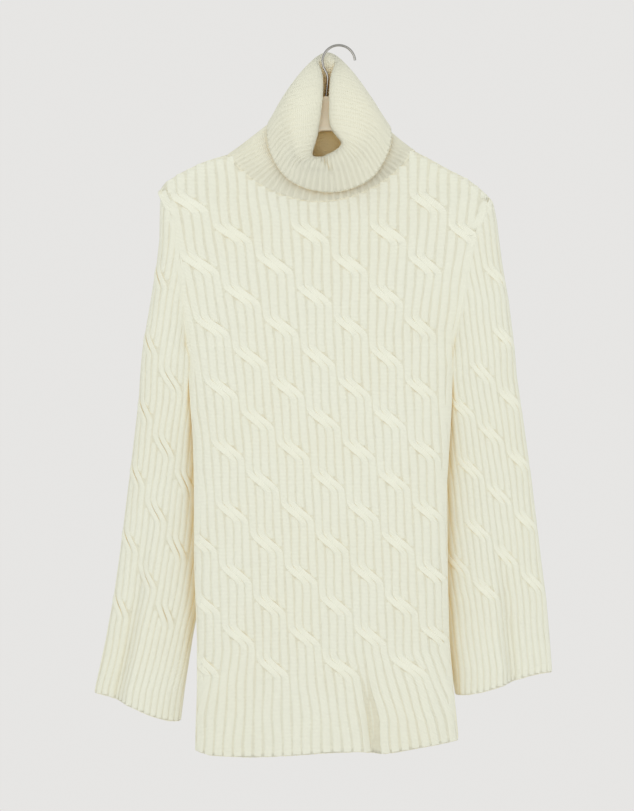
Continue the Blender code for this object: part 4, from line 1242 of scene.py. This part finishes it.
def sleeve_grid(plan):
    """A sleeve from the shoulder's tip to the cuff, from one side of its seam to the other."""
    tip = TIP_DROP[plan.sign]
    shares = np.linspace(-1, 1, SLEEVE_COLUMNS + 1)
    near = shares * DIFFERENCE  # just off the outer edge, to either side of it
    bottom = np.full(len(shares), float(plan.cuff_inner))
    for _ in range(CUFF_ROUNDS):
        places, _ = sleeve_points(plan, shares * sleeve_points(plan, near, bottom)[1], bottom)
        bottom = cuff_drop(plan, places[:, 0])
    above = tip + (UNDERARM_DROP - tip) * rows_from(tip, UNDERARM_DROP)
    below = np.linspace(0, 1, int((plan.cuff_inner - UNDERARM_DROP) / ROW_STEP))[1:, None]
    drops = np.concatenate((above[:, None] + 0 * shares,
                            UNDERARM_DROP + (bottom - UNDERARM_DROP) * below))
    flat = drops.ravel()
    across = np.tile(shares, len(drops))
    length = sleeve_points(plan, across * DIFFERENCE, flat)[1]
    around = across * length
    points = sleeve_points(plan, around, flat)[0].reshape(*drops.shape, 3)
    inside = np.clip(around, DIFFERENCE - length, length - DIFFERENCE)
    outwards = sleeve_surface(plan, inside, flat)[1].reshape(*drops.shape, 3)
    for column, side in ((0, plan.sign * BACK), (-1, plan.sign * FRONT)):
        outwards[:, column] = edge_outward(plan.sign, -side, drops[:, column],
                                           (-plan.sign, 0.0, 0.0))
    points[0] = world(edge_x(plan.sign, tip) + plan.sign * SEAM_GAP, 0.0, tip)
    outwards[0] = UP
    around = around.reshape(drops.shape)
    return Grid(points, outwards, drops + ROW_TILT * np.abs(around), around, len(above) - 1)


def collar_grid():
    """The collar from its free edge back over the fold and down to the neck seam."""
    angles = np.linspace(-pi, pi, COLLAR_COLUMNS + 1)
    rings = np.linspace(len(COLLAR_LINES), 0, COLLAR_ROWS)
    points, outwards = collar_surface(angles, rings)
    along = rings[:, None] / len(COLLAR_LINES) * COLLAR_LENGTH + 0 * angles
    across = 0 * along + angles / (2 * pi) * COLLAR_RIBS * COLLAR_WALE
    return Grid(points, outwards, along, across, 0)


def collar_lines():
    """Ribs up the outside of the stand, and on the side that shows once the cloth has turned."""
    half = pi / COLLAR_RIBS
    angles = np.linspace(-pi, pi, COLLAR_RIBS, endpoint=False) + half
    lines = []
    for (low, high), facing in ((STAND_RINGS, 1), (SHOWN_RINGS, -1)):
        rings = np.linspace(low, high, COLLAR_RIB_PLACES)
        points, outwards = collar_surface(angles, rings)
        beside = collar_points(angles + half, rings) - collar_points(angles - half, rings)
        pitch = np.linalg.norm(beside, axis=-1)
        girth = np.clip(pitch / COLLAR_RIB, *COLLAR_RIB_GIRTHS)
        out = facing * (COLLAR_TOP - COLLAR_RIB_SINK * girth)
        middle = points + outwards * out[..., None]
        along = rings / len(COLLAR_LINES) * COLLAR_LENGTH
        for j in range(len(angles)):
            lines += rib_lines(middle[:, j], outwards[:, j] * facing, girth[:, j], along,
                               np.ones(len(rings), bool), COLLAR_RIB_STEP)
    return lines


# --- seams and bound edges ---

def edge_line(points, outwards, out):
    return Line(points + outwards * out, outwards, 1.0, 0.0)


def add_ribs(name, lines, material, width, thickness):
    return ribs.grow(guide(name, lines), Width=width * MM, Thickness=thickness * MM,
                     Fullness=RIB_FULLNESS, Sides=RIB_SIDES, Material=material)


def add_stitches(name, lines, kind, seed):
    return stitches.grow(guide(name, lines), Spacing=kind.spacing * MM,
                         Size=[value * MM for value in kind.size], Slant=kind.slant, Seed=seed,
                         Material=seam_yarn)


StitchKind = namedtuple("StitchKind", "spacing size slant")
BOUND_EDGE = StitchKind(3.0, (4.4, 2.1, 2.3), 0.5)
SEAM = StitchKind(2.6, (4.4, 2.8, 2.2), 0.4)
SEAM_OUT, EDGE_OUT = 1.2, 0.4  # how far the stitches' middles lie out from the wall's middle
COLLAR_EDGE_OUT, COLLAR_SEAM_OUT = 0.5, 1.4
BODY_SEED, SLEEVE_SEED, COLLAR_EDGE_SEED, COLLAR_SEAM_SEED = 3, 5, 7, 9

# Each piece's flat size in metres, as width and length, and its area in square metres.
Cut = namedtuple("Cut", "flat area")


def hung(node, cloth, more):
    for obj in (cloth, *more):
        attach(obj, "root")
    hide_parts(node)


def make_panel(node, grid, lines, width, seams, seed):
    """One piece of the dress: its plain cloth, its ribs, its bound edge and its seams."""
    cloth = make_cloth(node + "_cloth", grid, (GROUND, WALL / 2))
    edge = edge_line(grid.points[-1], grid.outwards[-1], EDGE_OUT)
    more = [add_ribs(node + "_ribs", lines, body_knit, width, RIB_THICKNESS),
            add_stitches(node + "_edge", [edge], BOUND_EDGE, seed)]
    if seams:
        more.append(add_stitches(node + "_seams", seams, SEAM, seed))
    hung(node, cloth, more)


for node, side in (("front", FRONT), ("back", BACK)):
    grid = body_grid(side)
    seams = []
    if side == BACK:
        outside = np.flatnonzero(np.abs(neck_share(grid.across[0])) >= 1)
        for part in np.split(outside, np.flatnonzero(np.diff(outside) > 1) + 1):
            seams.append(edge_line(grid.points[0, part], grid.outwards[0, part], SEAM_OUT))
    make_panel(node, grid, body_lines(side), BODY_RIB * RIB_WIDTH_SHARE, seams,
               BODY_SEED)

for node, plan in (("sleeve_left", LEFT_SLEEVE), ("sleeve_right", RIGHT_SLEEVE)):
    grid = sleeve_grid(plan)
    armhole = slice(1, grid.open_rows)
    seams = [edge_line(grid.points[armhole, column], grid.outwards[armhole, column], SEAM_OUT)
             for column in (0, -1)]
    make_panel(node, grid, sleeve_lines(plan), SLEEVE_RIB * RIB_WIDTH_SHARE, seams,
               SLEEVE_SEED)

grid = collar_grid()
collar = make_cloth("collar_cloth", grid, (COLLAR_GROUND, COLLAR_GROUND))
free_edge = edge_line(grid.points[0], -grid.outwards[0], COLLAR_EDGE_OUT)
neck_edge = edge_line(grid.points[-1], grid.outwards[-1], COLLAR_SEAM_OUT)
more = [
    add_ribs("collar_ribs", collar_lines(), collar_knit, COLLAR_RIB * COLLAR_RIB_SHARE,
             COLLAR_RIB_THICKNESS),
    add_stitches("collar_edge", [free_edge], BOUND_EDGE, COLLAR_EDGE_SEED),
    add_stitches("collar_seam", [neck_edge], SEAM, COLLAR_SEAM_SEED)]
hung("collar", collar, more)

# --- hanger and hook ---

def make_hanger(name):
    """A flat board with rounded edges, as sections square to its length."""
    steps = HANGER_PLACE_STEPS * (len(HANGER) - 1)
    turn = np.linspace(0, pi / 2, CORNER_STEPS + 1)
    corner = HANGER_CORNER
    inner = HANGER_HALF_THICK - corner
    rings = []
    for step in range(steps + 1):
        x, top, bottom = spline(np.array(HANGER, float), step / HANGER_PLACE_STEPS)
        places = ((inner, top + corner), (inner, bottom - corner),
                  (-inner, bottom - corner), (-inner, top + corner))
        for quarter, (depth, drop) in enumerate(places):
            angles = turn + quarter * pi / 2
            rings.append(world(x, depth + corner * np.sin(angles), drop - corner * np.cos(angles)))
    points = np.concatenate(rings) * MM
    round_count = 4 * (CORNER_STEPS + 1)
    index = np.arange(len(points)).reshape(steps + 1, round_count)
    mesh = bpy.data.meshes.new(name)
    around = np.concatenate((index, index[:, :1]), axis=1)
    faces = grid_faces(around).tolist() + [index[0].tolist(), index[-1][::-1].tolist()]
    mesh.from_pydata(points.tolist(), [], faces)
    treated(mesh, lambda loose: bmesh.ops.recalc_face_normals(loose, faces=loose.faces))
    return link(name, mesh, board)


def hook_points():
    """From the tip over the crown and down to the hanger, along the middle of the wire."""
    centre_x, centre_drop = HOOK_CENTRE
    for degrees in range(HOOK_TIP_ANGLE, 180 + 1, HOOK_ROUND_STEP):
        angle = radians(degrees)
        yield (centre_x + HOOK_BEND_RADIUS * np.cos(angle),
               centre_drop - HOOK_BEND_RADIUS * np.sin(angle))
    for step in range(HOOK_NECK_STEPS * (len(HOOK_NECK) - 1) + 1):
        yield tuple(spline(np.array(HOOK_NECK, float), step / HOOK_NECK_STEPS))


def make_hook(name):
    curve = bpy.data.curves.new(name + "_line", "CURVE")
    curve.dimensions = "3D"
    curve.bevel_depth = HOOK_WIRE_RADIUS * MM
    curve.bevel_resolution = HOOK_ROUNDNESS
    curve.use_fill_caps = True
    points = list(hook_points())
    line = curve.splines.new("POLY")
    line.points.add(len(points) - 1)
    for point, (x, drop) in zip(line.points, points):
        point.co = (x * MM, 0, -drop * MM, 1)
    obj = place(name + "_line", curve)
    mesh = evaluated_mesh(obj)
    bpy.data.objects.remove(obj, do_unlink=True)
    mesh.name = name
    return link(name, mesh, chrome)


for node, obj in (("hanger", make_hanger("board")), ("hook", make_hook("wire"))):
    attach(obj, "root")
    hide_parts(node)

# --- room, light and camera ---

FLOOR_DROP = 1250.0
FLOOR_RADIUS = 900.0
FLOOR_CORNERS = 96
WALL_COLOUR = (0.796, 0.788, 0.774)
SKY_COLOUR = (0.81, 0.85, 0.88)
DAYLIGHT = (0.93, 0.965, 1.0)
MIDDLE = (0.0, 0.0, -0.5)  # of the dress, in metres, at which the lamps are aimed
CAMERA_PLACE = (-0.02835, -3.0, -0.48465)
CAMERA_LENS = 98.65

bpy.ops.mesh.primitive_circle_add(vertices=FLOOR_CORNERS, radius=FLOOR_RADIUS * MM,
                                  fill_type="NGON", location=(0, 0, -FLOOR_DROP * MM))
floor = bpy.context.active_object
floor.name = "floor"
floor_finish = Finish("pale_floor")
floor_finish.set(Base_Color=(*WALL_COLOUR, 1), Roughness=0.9)
floor.data.materials.append(floor_finish.material)

world_light = bpy.data.worlds.new("pale_room")
world_light.use_nodes = True
nodes, links = world_light.node_tree.nodes, world_light.node_tree.links
seen = nodes.new("ShaderNodeMix")
seen.data_type = "RGBA"
seen.inputs[6].default_value = (*SKY_COLOUR, 1)
seen.inputs[7].default_value = (*WALL_COLOUR, 1)
links.new(nodes.new("ShaderNodeLightPath").outputs["Is Camera Ray"], seen.inputs[0])
links.new(seen.outputs[2], nodes["Background"].inputs["Color"])
bpy.context.scene.world = world_light
bpy.context.scene.view_settings.view_transform = "Standard"


def area_light(name, place, size, energy):
    data = bpy.data.lights.new(name, "AREA")
    data.size = size
    data.energy = energy
    data.color = DAYLIGHT
    obj = bpy.data.objects.new(name, data)
    obj.location = place
    obj.rotation_euler = (Vector(MIDDLE) - Vector(place)).to_track_quat("-Z", "Y").to_euler()
    bpy.context.scene.collection.objects.link(obj)


area_light("window", (-1.2, -2.8, -0.3), 1.6, 14.5)
area_light("fill", (1.7, -2.6, -0.9), 1.8, 11.5)

camera = bpy.data.objects.new("camera", bpy.data.cameras.new("camera"))
camera.location = CAMERA_PLACE
camera.rotation_euler = (pi / 2, 0, 0)
camera.data.lens = CAMERA_LENS
bpy.context.scene.collection.objects.link(camera)
bpy.context.scene.camera = camera
